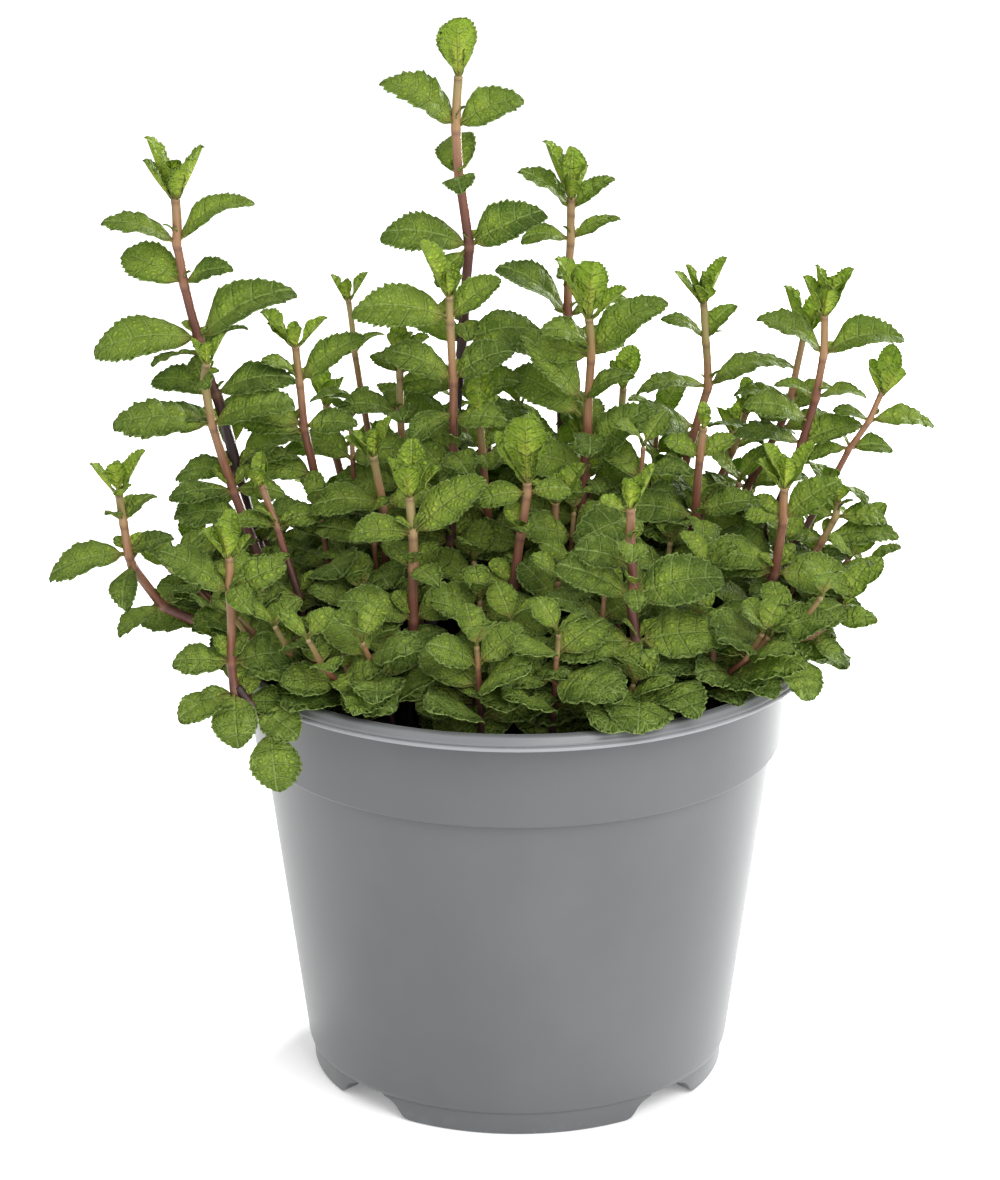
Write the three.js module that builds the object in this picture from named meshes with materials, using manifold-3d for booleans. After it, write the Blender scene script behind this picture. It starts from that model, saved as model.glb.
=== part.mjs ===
// Potted mint: a grey moulded nursery pot, its compost and the leafy stems that stand in it.
// Millimetres, Z up. The plant is laid out about the pot's axis with the pot's feet at z = 0, and at the
// end everything is moved so that the middle of the whole plant's footprint is at the origin.

import * as THREE from 'three';
import { mergeVertices } from 'three/addons/utils/BufferGeometryUtils.js';
import Module from 'manifold-3d';

const wasm = await Module();
wasm.setup();

// Pot
const RIM_RADIUS = 95;
const RIM_TOP = 144.2;
const LIP_HEIGHT = 4.6;
const LIP_WIDTH = 4.4;
const LIP_BEVEL = 1;
const LIP_NECK = 1.6;
const BAND_FOOT = 111;
const BAND_STEP = 0.5;
const BAND_RADIUS_TOP = 86.2;
const BAND_RADIUS_FOOT = 84.2;
const BODY_RADIUS_TOP = 81.6;
const BODY_RADIUS_FOOT = 68;
const BODY_FOOT = 6.9;
const BODY_BEVEL = 2.4;
const WALL = 1.8;
const FLOOR = 2.4;
const FLOOR_FILLET = 2.5;
const POT_SIDES = 38;
const FOOT_OUTER = 66.5;
const FOOT_WALL = 5.5;
const FOOT_GAP_TOP = 11;
const FOOT_GAP_FOOT = 28;
const FOOT_SHOULDER_LOW = { inset: 1.5, share: 0.35 };
const FOOT_SHOULDER_HIGH = { inset: 2.2, share: 0.75 };
const FOOT_BEVEL = 0.8;
const FOOT_ROOT = 0.6;
const FEET = 4;
const DRAIN_RADIUS = 4.5;
const DRAIN_RING = 46;
const DRAIN_SIDES = 6;

// Compost
const SOIL_TOP = 130;
const SOIL_CROWN = 1.6;
const SOIL_RIPPLE = 0.5;
const SEAT_GAP = 0.3;
// The compost's sides don't line up with the pot's, so its wall stands a little further off.
const SIDE_GAP = 0.5;
const SOIL_SIDES = 28;

// Meshes: points this close are one point, and faces this flat to each other are one face.
const WELD = 1e-4;
const MERGE_FLAT = 0.04;

// Stems
const ROOT_DEPTH = 14;
const HOLE_CLEARANCE = 0.5;
const HOLE_SIDES = 5;
const HOLE_RUN_OUT = 5;
const TIP_GIRTH = 0.72;

// Leaves
const BLADE = 0.8;
const PETIOLE = 1.2;
const ROOT_OFFSET = 0.3;
const ARCH = 0.07;
const WAVE = 0.022;
const WAVE_PACE = 9;
const LEAST_STEP = 0.03;
const MOST_RISE = 86;
const LARGE_LEAF = 24.5;
const MIDDLE_LEAF = 17;
const LEAST_LEAF = 16.5;
const LEAST_THREE_LEAF_TIP = 19;
// The leaves at a tip: how far below its end they leave it, and the second and third leaf's length
// beside the first and how many degrees more they rise.
const TIP_LEAF_DROP = 1.5;
const TIP_SECOND = { share: 0.86, rise: 0 };
const TIP_THIRD = { share: 0.64, rise: 12 };
// Blades lean their upper face outwards, to the light: how many degrees, how far this follows a stem's
// place to the left or right, and the depth at which it changes from the front to the back.
const LIGHT_TILT = 30;
const LIGHT_SPREAD = 0.6;
const LIGHT_TURN = 36;
const CLEAR_OF_OTHERS = 0.45;
const CLEAR_OF_STEM = 3.4;

// Half outlines of a blade, from the stem to the tip: how far along, and how wide as a share of the
// widest half width. Each outward step is a tooth and each inward step the notch behind it.
const HALF_OUTLINES = {
  large: [[0.18, 0.74], [0.43, 1.04], [0.49, 0.9], [0.71, 0.86], [0.76, 0.66]],
  middle: [[0.22, 0.82], [0.53, 1.02], [0.59, 0.84]],
  small: [[0.3, 0.92], [0.67, 0.76]],
};
const LEAF_WIDTH = { large: 0.66, middle: 0.7, small: 0.7 };

// Where a leaf may turn to when its first place would touch another: degrees round the stem, degrees up,
// and share of its length. The first that is clear is taken.
const TURNS = [
  [0, 0, 1], [12, 0, 1], [-12, 0, 1], [0, 12, 1], [0, -12, 1], [22, 8, 1], [-22, 8, 1],
  [22, -10, 0.95], [-22, -10, 0.95], [0, 24, 0.9], [0, -24, 0.9], [35, 0, 0.9], [-35, 0, 0.9],
  [30, 20, 0.85], [-30, 20, 0.85], [48, 5, 0.8], [-48, 5, 0.8], [0, 40, 0.8], [60, 15, 0.7],
  [-60, 15, 0.7], [0, -38, 0.7], [20, 30, 0.65], [-20, 30, 0.65], [0, 12, 0.55],
];

// The stems. Each is its name, its girth, where it leaves the compost, its nodes and its tip.
// A node is x, y, z, then the way its first leaf points (degrees from +X towards +Y), that leaf's length
// and rise in degrees, and the length and rise of the leaf across the stem; length 0 is no leaf.
// A node of three numbers is a bend. A tip is x, y, z, the way its outer pair points, length and rise.
const STEMS = [
  ["tall_centre", 3.8, [-14, 20], [
    [-18, 17, 169, 100, 22, 10, 20, 5],
    [-20, 15, 209, 15, 24, 12, 24, 8],
    [-17, 13, 242, 95, 20, 25, 16, 5],
    [-15, 12, 268, 5, 26, 27, 28, 12],
    [-18, 11, 290, 272, 18, 2, 26, 52],
    [-19, 11, 306, 2, 25, 50, 27, 48]],
    [-18, 10, 323, 268, 23, 66]],
  ["tall_left", 3.6, [-62, 6], [
    [-82, 0, 173, 255, 20, 8, 20, 28],
    [-88, -1, 198, 188, 20, 2, 20, 15],
    [-94, -2, 224, 345, 26, 20, 22, 22],
    [-98, -3, 237, 225, 20, 4, 18, 25],
    [-99, -3, 242, 5, 33, 34, 33, -2],
    [-103, -4, 260, 340, 17, 25, 23, 24],
    [-105, -4, 273, 2, 27, 44, 24, 22]],
    [-105, -5, 288, 350, 20, 64]],
  ["right_centre_front", 3.4, [19, 3], [
    [20, 2, 182, 0, 24, 5, 22, 10],
    [22, 1, 210, 272, 18, 0, 20, 30],
    [23, -2, 236, 2, 29, 42, 20, 12]],
    [22, -8, 251, 275, 23, 68]],
  ["right_centre_back", 3.4, [14, 36], [
    [14, 36, 189, 180, 24, 10, 22, 15],
    [14, 35, 212, 92, 20, 20, 20, 0],
    [16, 34, 239, 182, 28, 42, 20, 20],
    [17, 32, 265, 2, 17, 30, 16, 4],
    [17, 31, 275, 2, 17, 40, 21, 52]],
    [17, 30, 280, 85, 17, 70]],
  ["front_centre", 3.4, [-1, -34], [
    [-1, -34, 146, 12, 15, 2, 17, 0],
    [-1, -33, 158, 285, 17, 0, 15, 12],
    [-1, -33, 171, 5, 18, 6, 20, 6],
    [1, -33, 188, 100, 15, 12, 12, 25],
    [3, -32, 201, 190, 16, -4, 14, 5]],
    [3, -32, 205, 268, 27, 70]],
  ["front_right_mid", 3.4, [36, -60], [
    [37, -66, 150, 268, 27, -6, 12, 10],
    [36, -65, 164, 8, 28, 4, 28, -1],
    [34, -64, 178, 4, 29, 25, 25, 28],
    [35, -64, 181, 275, 12, -15, 12, 25],
    [34, -63, 194, 270, 17, 4, 14, 20]],
    [34, -62, 206, 350, 17, 64]],
  ["front_left_mid", 3.4, [-33, -47], [
    [-33, -46, 147, 300, 15, 0, 16, 10],
    [-32, -44, 164, 12, 22, 22, 25, 20],
    [-32, -43, 180, 300, 16, 0, 15, 18],
    [-32, -42, 191, 8, 28, 37, 20, 2]],
    [-33, -40, 203, 85, 19, 68]],
  ["front_right", 3.4, [60, -26], [
    [72, -25, 154, 262, 18, -4, 18, 20],
    [80, -28, 174, 350, 25, -8, 23, 6],
    [82, -31, 192, 5, 21, 37, 12, 10]],
    [82, -34, 204, 2, 18, 60]],
  ["tall_right", 3.3, [66, 10], [
    [80, 10, 176, 95, 18, 10, 18, 8],
    [90, 10, 204, 2, 20, 10, 22, 15],
    [94, 8, 220, 348, 16, 10, 14, 20],
    [96, 7, 234, 2, 26, 16, 24, 33]],
    [96, 6, 248, 2, 18, 62]],
  ["right_back", 3.2, [46, 26], [
    [52, 28, 184, 92, 20, 10, 20, 8],
    [61, 30, 217, 2, 28, 22, 23, 0],
    [60, 28, 233, 8, 15, 56, 18, 58]],
    [59, 26, 247, 2, 17, 66]],
  ["front_left", 3.2, [-57, -42], [
    [-68, -51, 152],
    [-77, -59, 153.5],
    [-84, -66, 145, 200, 15, -12, 17, 8],
    [-86, -66, 149, 290, 18, -58, 0, 0],
    [-87, -64, 157, 190, 18, 6, 22, 6],
    [-87, -63, 179, 182, 25, 36, 19, 30],
    [-87, -63, 182, 300, 14, -20, 12, 20]],
    [-87, -63, 191, 85, 16, 66]],
  ["outer_left", 3.1, [-70, -16], [
    [-82, -19, 152],
    [-102, -22, 156.5],
    [-111, -22, 161, 205, 17, -24, 14, 20],
    [-120, -24, 175, 262, 17, -36, 13, 35],
    [-121, -25, 179, 182, 26, -13, 15, 25],
    [-122, -27, 190, 20, 13, 45, 11, 15]],
    [-123, -29, 201, 358, 17, 62]],
  ["pale_left", 3.2, [-62, -16], [
    [-80, -9, 169, 100, 18, 10, 17, 5],
    [-89, -7, 194, 200, 21, 0, 17, 12],
    [-95, -9, 216, 8, 29, 28, 31, 6],
    [-97, -12, 231, 275, 12, 15, 12, 45]],
    [-96, -14, 238, 2, 12, 62]],
  ["before_centre", 3.2, [-22, -6], [
    [-21, -4, 176, 12, 24, 4, 24, 8],
    [-20, -3, 204, 282, 20, 4, 20, 24],
    [-20, -3, 229, 4, 21, 28, 25, 25],
    [-21, -4, 249, 6, 20, 38, 30, 12]],
    [-21, -5, 257, 85, 12, 68]],
  ["left_mid", 3, [-48, 8], [
    [-60, 4, 174, 105, 20, 10, 20, 6],
    [-67, -1, 213, 350, 17, 8, 27, 20],
    [-68, -2, 228, 2, 25, 36, 15, 28]],
    [-69, -4, 241, 4, 14, 46]],
  ["back_left_thin", 2.6, [-38, 34], [
    [-46, 33, 189, 105, 17, 20, 17, 8],
    [-52, 32, 228, 10, 11, 40, 10, 30]],
    [-54, 33, 246, 355, 12, 58]],
  ["left_inner", 2.8, [-34, 14], [
    [-36, 11, 189, 8, 22, 8, 22, 12],
    [-37, 8, 215, 92, 16, 25, 15, 10],
    [-37, 7, 228, 182, 11, 40, 11, 32]],
    [-37, 6, 236, 85, 12, 68]],
  ["left_fore", 3.2, [-40, -9], [
    [-41, -10, 164, 272, 19, -4, 17, 20],
    [-42, -11, 190, 194, 24, 5, 21, 12]],
    [-45, -14, 208, 2, 15, 66]],
  ["centre", 3, [-8, 4], [
    [-9, 2, 179, 192, 20, 10, 19, 10],
    [-11, -2, 204, 265, 15, 4, 15, 18]],
    [-12, -4, 218, 88, 15, 68]],
  ["centre_low", 2.8, [12, -14], [
    [12, -13, 156, 2, 20, 5, 19, 0],
    [12, -13, 176, 92, 16, 15, 16, 0]],
    [12, -14, 193, 12, 16, 56]],
  ["centre_right", 3, [24, 18], [
    [23, 15, 173, 8, 22, 8, 21, 10],
    [22, 12, 191, 95, 18, 15, 15, 8]],
    [21, 8, 207, 88, 15, 66]],
  ["right_mid", 3.2, [44, -4], [
    [50, -5, 164, 4, 22, 8, 22, 10],
    [56, -6, 184, 275, 20, 0, 20, 30],
    [57, -8, 205, 6, 13, 32, 13, 30]],
    [58, -9, 216, 88, 9, 68]],
  ["right_behind", 3, [58, 30], [
    [74, 29, 184, 4, 20, 10, 20, 8],
    [86, 26, 210, 240, 16, 8, 16, 22],
    [87, 26, 214, 182, 20, 35, 15, 20]],
    [91, 25, 236, 2, 11, 60]],
  ["far_right", 2.6, [70, -2], [
    [84, 2, 166, 92, 16, 8, 15, 6],
    [98, 7, 190, 305, 20, -4, 18, 20],
    [105, 9, 203, 4, 14, 4, 14, 2],
    [111, 9, 212, 2, 21, -2, 12, 22]],
    [115, 9, 222, 300, 15, 52]],
  ["right_outer", 3, [72, -14], [
    [85, -10, 159, 5, 19, 4, 18, 10],
    [96, -6, 177, 352, 24, 10, 17, 12],
    [100, -6, 185, 8, 17, -16, 12, 20]],
    [101, -6, 191, 80, 14, 66]],
  ["creeping_right", 2.4, [70, -34], [
    [80, -33, 152, 265, 14, -28, 11, 10],
    [91, -34, 155, 335, 13, -34, 10, 20],
    [98, -32, 159, 350, 14, 12, 11, 20]],
    [101, -31, 166, 20, 10, 50]],
  ["left_twin", 2.6, [-62, -28], [
    [-68, -22, 164, 190, 18, 2, 18, 8],
    [-75, -16, 185, 10, 16, 18, 14, 12]],
    [-80, -13, 198, 88, 12, 66]],
  ["front_low_left", 2.4, [-50, -58], [
    [-51, -60, 145, 195, 18, 4, 18, 0],
    [-52, -61, 153, 275, 17, 0, 14, 18]],
    [-52, -61, 161, 5, 10, 55]],
  ["front_low_centre", 2.4, [-14, -62], [
    [-14, -63, 143, 5, 17, 2, 17, 2],
    [-14, -64, 151, 275, 14, 4, 13, 20]],
    [-14, -64, 158, 5, 9, 55]],
  ["front_low_mid", 2.4, [13, -54], [
    [13, -56, 144, 200, 17, 2, 17, 4],
    [13, -57, 154, 285, 15, 2, 14, 18]],
    [13, -57, 162, 10, 10, 55]],
  ["front_low_right", 2.4, [56, -48], [
    [58, -50, 144, 300, 18, 4, 17, 6],
    [60, -51, 154, 15, 17, 6, 15, 14]],
    [61, -51, 163, 280, 10, 55]],
  ["side_low_left", 2.4, [-76, -6], [
    [-82, -6, 152, 95, 17, 4, 16, 2],
    [-88, -5, 161, 190, 17, 8, 14, 16]],
    [-90, -5, 169, 100, 10, 55]],
  ["side_low_right", 2.4, [74, 24], [
    [80, 26, 151, 85, 17, 4, 17, 2],
    [86, 26, 160, 5, 17, 6, 16, 16]],
    [89, 26, 168, 90, 10, 55]],
  ["back_right_tip", 2.8, [44, 44], [
    [60, 46, 169, 95, 22, 8, 21, 6],
    [70, 43, 192, 10, 21, 20, 20, 14]],
    [74, 41, 206, 95, 13, 62]],
  ["back_left", 3.2, [-44, 56], [
    [-47, 60, 148, 40, 22, 2, 22, 2],
    [-54, 62, 162, 120, 24, 4, 22, 8],
    [-60, 65, 184, 35, 23, 12, 22, 14]],
    [-63, 66, 201, 120, 16, 60]],
  ["back_centre", 3.4, [-8, 62], [
    [-8, 66, 148, 10, 22, 2, 22, 2],
    [-9, 70, 162, 95, 24, 2, 22, 8],
    [-10, 74, 184, 5, 24, 12, 24, 12]],
    [-10, 75, 204, 95, 17, 60]],
  ["back_right", 3.2, [24, 58], [
    [27, 63, 149, 345, 21, 2, 21, 2],
    [30, 68, 164, 70, 24, 4, 22, 10],
    [34, 72, 188, 340, 22, 14, 22, 14]],
    [35, 73, 205, 70, 16, 60]],
  ["back_far_right", 2.8, [53, 52], [
    [64, 62, 162, 40, 22, 2, 20, 10],
    [69, 66, 178, 125, 20, 14, 19, 12]],
    [71, 67, 192, 40, 14, 58]],
  ["back_far_left", 2.8, [-66, 34], [
    [-73, 36, 149, 75, 20, 2, 20, 2],
    [-82, 38, 161, 165, 21, 2, 20, 10],
    [-90, 38, 180, 80, 20, 12, 20, 10]],
    [-93, 38, 196, 165, 15, 60]],
  ["back_inner_left", 2.8, [-22, 42], [
    [-26, 46, 166, 20, 22, 6, 22, 8],
    [-28, 48, 190, 110, 20, 14, 19, 8]],
    [-29, 49, 208, 20, 14, 62]],
];

const GREY_PLASTIC = { color: 0x85878a, roughness: 0.38, metalness: 0 };
const DARK_COMPOST = { color: 0x2a1d16, roughness: 0.95, metalness: 0 };
const LEAF_GREEN = { color: 0x4f7a2c, roughness: 0.6, metalness: 0 };

const rad = THREE.MathUtils.degToRad;

// A closed geometry as a solid that can be joined and cut.
function solid(geometry) {
  const bare = geometry.clone();
  bare.deleteAttribute('normal');
  bare.deleteAttribute('uv');
  const merged = mergeVertices(bare, WELD);
  const vertProperties = new Float32Array(merged.attributes.position.array);
  const corners = [];
  const index = merged.index.array;
  for (let i = 0; i < index.length; i += 3) {
    const [a, b, c] = [index[i], index[i + 1], index[i + 2]];
    if (a !== b && b !== c && c !== a) corners.push(a, b, c);
  }
  const triVerts = new Uint32Array(corners);
  return new wasm.Manifold(new wasm.Mesh({ numProp: 3, vertProperties, triVerts }));
}

// A solid as a named mesh of the part.
function toMesh(body, name, look) {
  const { vertProperties, triVerts } = body.getMesh();
  const geometry = new THREE.BufferGeometry();
  geometry.setAttribute('position', new THREE.BufferAttribute(new Float32Array(vertProperties), 3));
  geometry.setIndex(new THREE.BufferAttribute(new Uint32Array(triVerts), 1));
  geometry.computeVertexNormals();
  const mesh = new THREE.Mesh(geometry, new THREE.MeshStandardMaterial(look));
  mesh.name = name;
  return mesh;
}

// A body of revolution about the pot's axis from [radius, height] pairs, outside seen from outside.
function turned(profile, sides) {
  const geometry = new THREE.LatheGeometry(profile.map(([r, z]) => new THREE.Vector2(r, z)), sides);
  geometry.rotateX(Math.PI / 2);
  return solid(geometry);
}

// The body's inside radius at a height.
function innerRadius(z) {
  const slope = (BODY_RADIUS_TOP - BODY_RADIUS_FOOT) / (BAND_FOOT - BODY_FOOT);
  return BODY_RADIUS_FOOT + slope * (z - BODY_FOOT) - WALL;
}

// Lip, band, body and floor in one turned shell.
function potShell() {
  const floorTop = BODY_FOOT + FLOOR;
  const lipFoot = RIM_TOP - LIP_HEIGHT;
  const wallTop = BAND_FOOT - WALL;
  return turned([
    [0, BODY_FOOT],
    [BODY_RADIUS_FOOT - BODY_BEVEL, BODY_FOOT],
    [BODY_RADIUS_FOOT, BODY_FOOT + BODY_BEVEL / 2],
    [BODY_RADIUS_TOP, BAND_FOOT - BAND_STEP],
    [BAND_RADIUS_FOOT, BAND_FOOT],
    [BAND_RADIUS_TOP, lipFoot - LIP_NECK],
    [RIM_RADIUS - LIP_BEVEL, lipFoot],
    [RIM_RADIUS, lipFoot + LIP_BEVEL],
    [RIM_RADIUS - LIP_BEVEL / 2, RIM_TOP - LIP_BEVEL],
    [RIM_RADIUS - 2 * LIP_BEVEL, RIM_TOP],
    [RIM_RADIUS - LIP_WIDTH, RIM_TOP],
    [BAND_RADIUS_TOP - WALL, lipFoot],
    [BAND_RADIUS_FOOT - WALL, BAND_FOOT + WALL / 2],
    [innerRadius(wallTop), wallTop],
    [innerRadius(floorTop + FLOOR_FILLET), floorTop + FLOOR_FILLET],
    [innerRadius(floorTop) - FLOOR_FILLET, floorTop],
    [0, floorTop],
  ], POT_SIDES);
}

// The ring that the feet are cut from, sunk a little into the floor above it.
function footRing() {
  const inside = FOOT_OUTER - FOOT_WALL;
  return turned([
    [inside, 0],
    [FOOT_OUTER - FOOT_BEVEL, 0],
    [FOOT_OUTER, FOOT_BEVEL],
    [FOOT_OUTER, BODY_FOOT + FOOT_ROOT],
    [inside, BODY_FOOT + FOOT_ROOT],
    [inside, 0],
  ], POT_SIDES);
}

// What is cut out between two feet, at the pot's front: steep at the floor, slanted over the shoulders
// and narrow at the top. It reaches from inside the ring to outside it.
function footGap() {
  const over = 1;
  const corners = [
    [FOOT_GAP_FOOT / 2, -over],
    [FOOT_GAP_FOOT / 2 - FOOT_SHOULDER_LOW.inset, FOOT_SHOULDER_LOW.share * BODY_FOOT],
    [FOOT_GAP_TOP / 2 + FOOT_SHOULDER_HIGH.inset, FOOT_SHOULDER_HIGH.share * BODY_FOOT],
    [FOOT_GAP_TOP / 2, BODY_FOOT + over],
  ];
  const right = corners.map(([x, z]) => new THREE.Vector2(x, z));
  const left = corners.map(([x, z]) => new THREE.Vector2(-x, z)).reverse();
  const outline = new THREE.Shape([...right, ...left]);
  const depth = 4 * FOOT_WALL;
  const gap = new THREE.ExtrudeGeometry(outline, { depth, bevelEnabled: false });
  gap.translate(0, 0, FOOT_OUTER - depth / 2);
  gap.rotateX(Math.PI / 2);
  return gap;
}

function drainHole(x, y) {
  const drain = new THREE.CylinderGeometry(DRAIN_RADIUS, DRAIN_RADIUS, 3 * FLOOR, DRAIN_SIDES);
  drain.rotateX(Math.PI / 2);
  drain.translate(x, y, BODY_FOOT + FLOOR / 2);
  return drain;
}

// The pot is one moulding. A gap between two feet and a drain hole stand in each quarter.
function buildPot() {
  const shell = potShell();
  let feet = footRing();
  let holes = solid(drainHole(0, 0));
  for (let quarter = 0; quarter < FEET; quarter += 1) {
    const turn = ((quarter + 0.5) * 2 * Math.PI) / FEET;
    feet = feet.subtract(solid(footGap().rotateZ(turn)));
    holes = holes.add(solid(drainHole(DRAIN_RING * Math.cos(turn), DRAIN_RING * Math.sin(turn))));
  }
  return shell.add(feet).subtract(holes);
}

// The compost follows the pot's inside and has an uneven top.
function buildSoil() {
  const floor = BODY_FOOT + FLOOR + SEAT_GAP;
  const filletTop = BODY_FOOT + FLOOR + FLOOR_FILLET;
  const wallTop = BAND_FOOT - WALL;
  const topEdge = BAND_RADIUS_TOP - WALL - 3 * SIDE_GAP;
  return turned([
    [0, floor],
    [innerRadius(floor) - FLOOR_FILLET - SIDE_GAP, floor],
    [innerRadius(filletTop) - SIDE_GAP, filletTop + SIDE_GAP],
    [innerRadius(wallTop) - SIDE_GAP, wallTop],
    [BAND_RADIUS_FOOT - WALL - SIDE_GAP, BAND_FOOT + WALL],
    [topEdge, SOIL_TOP - SOIL_RIPPLE],
    [topEdge * 0.8, SOIL_TOP + SOIL_RIPPLE],
    [topEdge * 0.4, SOIL_TOP - SOIL_RIPPLE],
    [0, SOIL_TOP + SOIL_CROWN],
  ], SOIL_SIDES);
}

// A stem's path: straight through its hole in the compost, then from node to node, where it bends.
class StemPath extends THREE.Curve {
  constructor([, , root, nodes, tip]) {
    super();
    this.start = new THREE.Vector3(root[0], root[1], SOIL_TOP);
    const joints = [...nodes, tip].map((joint) => new THREE.Vector3(...joint.slice(0, 3)));
    this.lean = joints[0].clone().sub(this.start).normalize();
    this.stations = [this.start.clone().addScaledVector(this.lean, -ROOT_DEPTH), ...joints];
    this.headings = [this.lean];
    let before = this.start;
    joints.forEach((joint, k) => {
      const heading = joint.clone().sub(before).normalize();
      if (joints[k + 1]) heading.add(joints[k + 1].clone().sub(joint).normalize());
      this.headings.push(heading.normalize());
      before = joint;
    });
  }

  getSpacedPoints() {
    return this.stations;
  }

  getTangentAt(share) {
    return this.headings[Math.round(share * (this.headings.length - 1))].clone();
  }

  getPoint(share) {
    return this.stations[Math.round(share * (this.stations.length - 1))].clone();
  }
}

// A square stem that tapers to its tip.
function stemSolid(stem) {
  const path = new StemPath(stem);
  const steps = path.stations.length - 1;
  const half = stem[1] / 2;
  const square = new THREE.Shape([
    new THREE.Vector2(-half, -half),
    new THREE.Vector2(half, -half),
    new THREE.Vector2(half, half),
    new THREE.Vector2(-half, half),
  ]);
  const tube = new THREE.ExtrudeGeometry(square, { steps, extrudePath: path, bevelEnabled: false });
  const place = tube.attributes.position;
  const corner = new THREE.Vector3();
  for (let i = 0; i < place.count; i += 1) {
    corner.fromBufferAttribute(place, i);
    let nearest = 0;
    path.stations.forEach((point, k) => {
      if (point.distanceTo(corner) < path.stations[nearest].distanceTo(corner)) nearest = k;
    });
    const taper = 1 + (TIP_GIRTH - 1) * (nearest / steps);
    corner.sub(path.stations[nearest]).multiplyScalar(taper).add(path.stations[nearest]);
    place.setXYZ(i, corner.x, corner.y, corner.z);
  }
  return solid(tube);
}

function leafSize(length) {
  if (length >= LARGE_LEAF) return 'large';
  if (length >= MIDDLE_LEAF) return 'middle';
  return 'small';
}

// One blade in its place. It is an extruded toothed outline, arched along its midrib and waved along its
// edges. With a margin it is the space that the blade needs, from clear of its own stem outwards.
function blade(node, azimuth, length, rise, margin = 0) {
  const kind = leafSize(length);
  const wide = length * LEAF_WIDTH[kind] / 2;
  const inner = (margin > 0 ? CLEAR_OF_STEM : ROOT_OFFSET) / length;
  const side = [[inner, (PETIOLE / 2) / wide]];
  for (const [along, width] of HALF_OUTLINES[kind]) side.push([Math.max(along, inner + LEAST_STEP), width]);
  const outline = side.map(([u, w]) => new THREE.Vector2(u * length, -w * wide - margin));
  outline.push(new THREE.Vector2(length + margin, 0));
  for (const [u, w] of [...side].reverse()) outline.push(new THREE.Vector2(u * length, w * wide + margin));
  const thick = BLADE + 2 * margin;
  const shape = new THREE.ExtrudeGeometry(new THREE.Shape(outline), { depth: thick, bevelEnabled: false });
  const place = shape.attributes.position;
  const first = HALF_OUTLINES[kind][0][0];
  for (let i = 0; i < place.count; i += 1) {
    const u = Math.min(1, place.getX(i) / length);
    const v = place.getY(i) / wide;
    const wave = u > first ? Math.sin(WAVE_PACE * (u - first)) * v : 0;
    const lift = ARCH * 4 * u * (1 - u) * length + WAVE * length * wave;
    place.setZ(i, place.getZ(i) - thick / 2 + lift);
  }
  const turn = rad(azimuth);
  const up = rad(rise);
  const flat = Math.cos(up);
  const along = new THREE.Vector3(flat * Math.cos(turn), flat * Math.sin(turn), Math.sin(up));
  const across = new THREE.Vector3(-Math.sin(turn), Math.cos(turn), 0);
  const light = new THREE.Vector3(node[0] * LIGHT_SPREAD, node[1] - LIGHT_TURN, 0).normalize();
  across.applyAxisAngle(along, -rad(LIGHT_TILT) * light.dot(across));
  const normal = new THREE.Vector3().crossVectors(along, across);
  const matrix = new THREE.Matrix4().makeBasis(along, across, normal);
  matrix.setPosition(...node);
  shape.applyMatrix4(matrix);
  return solid(shape);
}

// Every leaf that a stem asks for: each node's pair, and the pair or the three at the tip.
function leavesOf([, , , nodes, tip]) {
  const wanted = [];
  for (const [x, y, z, azimuth, length, rise, acrossLength, acrossRise] of nodes) {
    wanted.push({ node: [x, y, z], azimuth, length, rise });
    wanted.push({ node: [x, y, z], azimuth: azimuth + 180, length: acrossLength, rise: acrossRise });
  }
  const leaves = wanted.filter((leaf) => leaf.length >= LEAST_LEAF);
  const [x, y, z, azimuth, length, rise] = tip;
  const tipLeaves = [[0, { share: 1, rise: 0 }], [180, TIP_SECOND]];
  if (length >= LEAST_THREE_LEAF_TIP) tipLeaves.push([90, TIP_THIRD]);
  for (const [turn, beside] of tipLeaves) {
    leaves.push({
      node: [x, y, z - TIP_LEAF_DROP],
      azimuth: azimuth + turn,
      length: length * beside.share,
      rise: rise + beside.rise,
    });
  }
  return leaves;
}

// Faces that lie in one plane are joined up again after the cuts.
function tidied(body) {
  return body.asOriginal().simplify(MERGE_FLAT);
}

function apart(boxA, boxB) {
  for (let axis = 0; axis < 3; axis += 1) {
    if (boxA.max[axis] < boxB.min[axis] || boxB.max[axis] < boxA.min[axis]) return true;
  }
  return false;
}

function blocked(space, obstacles) {
  const box = space.boundingBox();
  for (const obstacle of obstacles) {
    if (apart(box, obstacle.box)) continue;
    const shared = obstacle.body.intersect(space);
    const touching = !shared.isEmpty();
    shared.delete();
    if (touching) return true;
  }
  return false;
}

const pot = buildPot();
let soil = buildSoil();

const obstacles = [{ body: pot, box: pot.boundingBox() }, { body: soil, box: soil.boundingBox() }];
const sprigs = STEMS.map((stem) => ({ stem, body: stemSolid(stem) }));
for (const { body } of sprigs) obstacles.push({ body, box: body.boundingBox() });

// Large leaves choose their place first, then the smaller ones.
const queue = [];
sprigs.forEach((sprig, order) => {
  for (const leaf of leavesOf(sprig.stem)) queue.push({ ...leaf, sprig, order });
});
queue.sort((a, b) => b.length - a.length || a.order - b.order);
for (const leaf of queue) {
  for (const [turn, lift, share] of TURNS) {
    const rise = Math.min(MOST_RISE, leaf.rise + lift);
    const place = [leaf.node, leaf.azimuth + turn, leaf.length * share, rise];
    const space = blade(...place, CLEAR_OF_OTHERS);
    const inTheWay = blocked(space, obstacles);
    space.delete();
    if (inTheWay) continue;
    const body = blade(...place);
    obstacles.push({ body, box: body.boundingBox() });
    leaf.sprig.body = leaf.sprig.body.add(body);
    break;
  }
}

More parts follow.
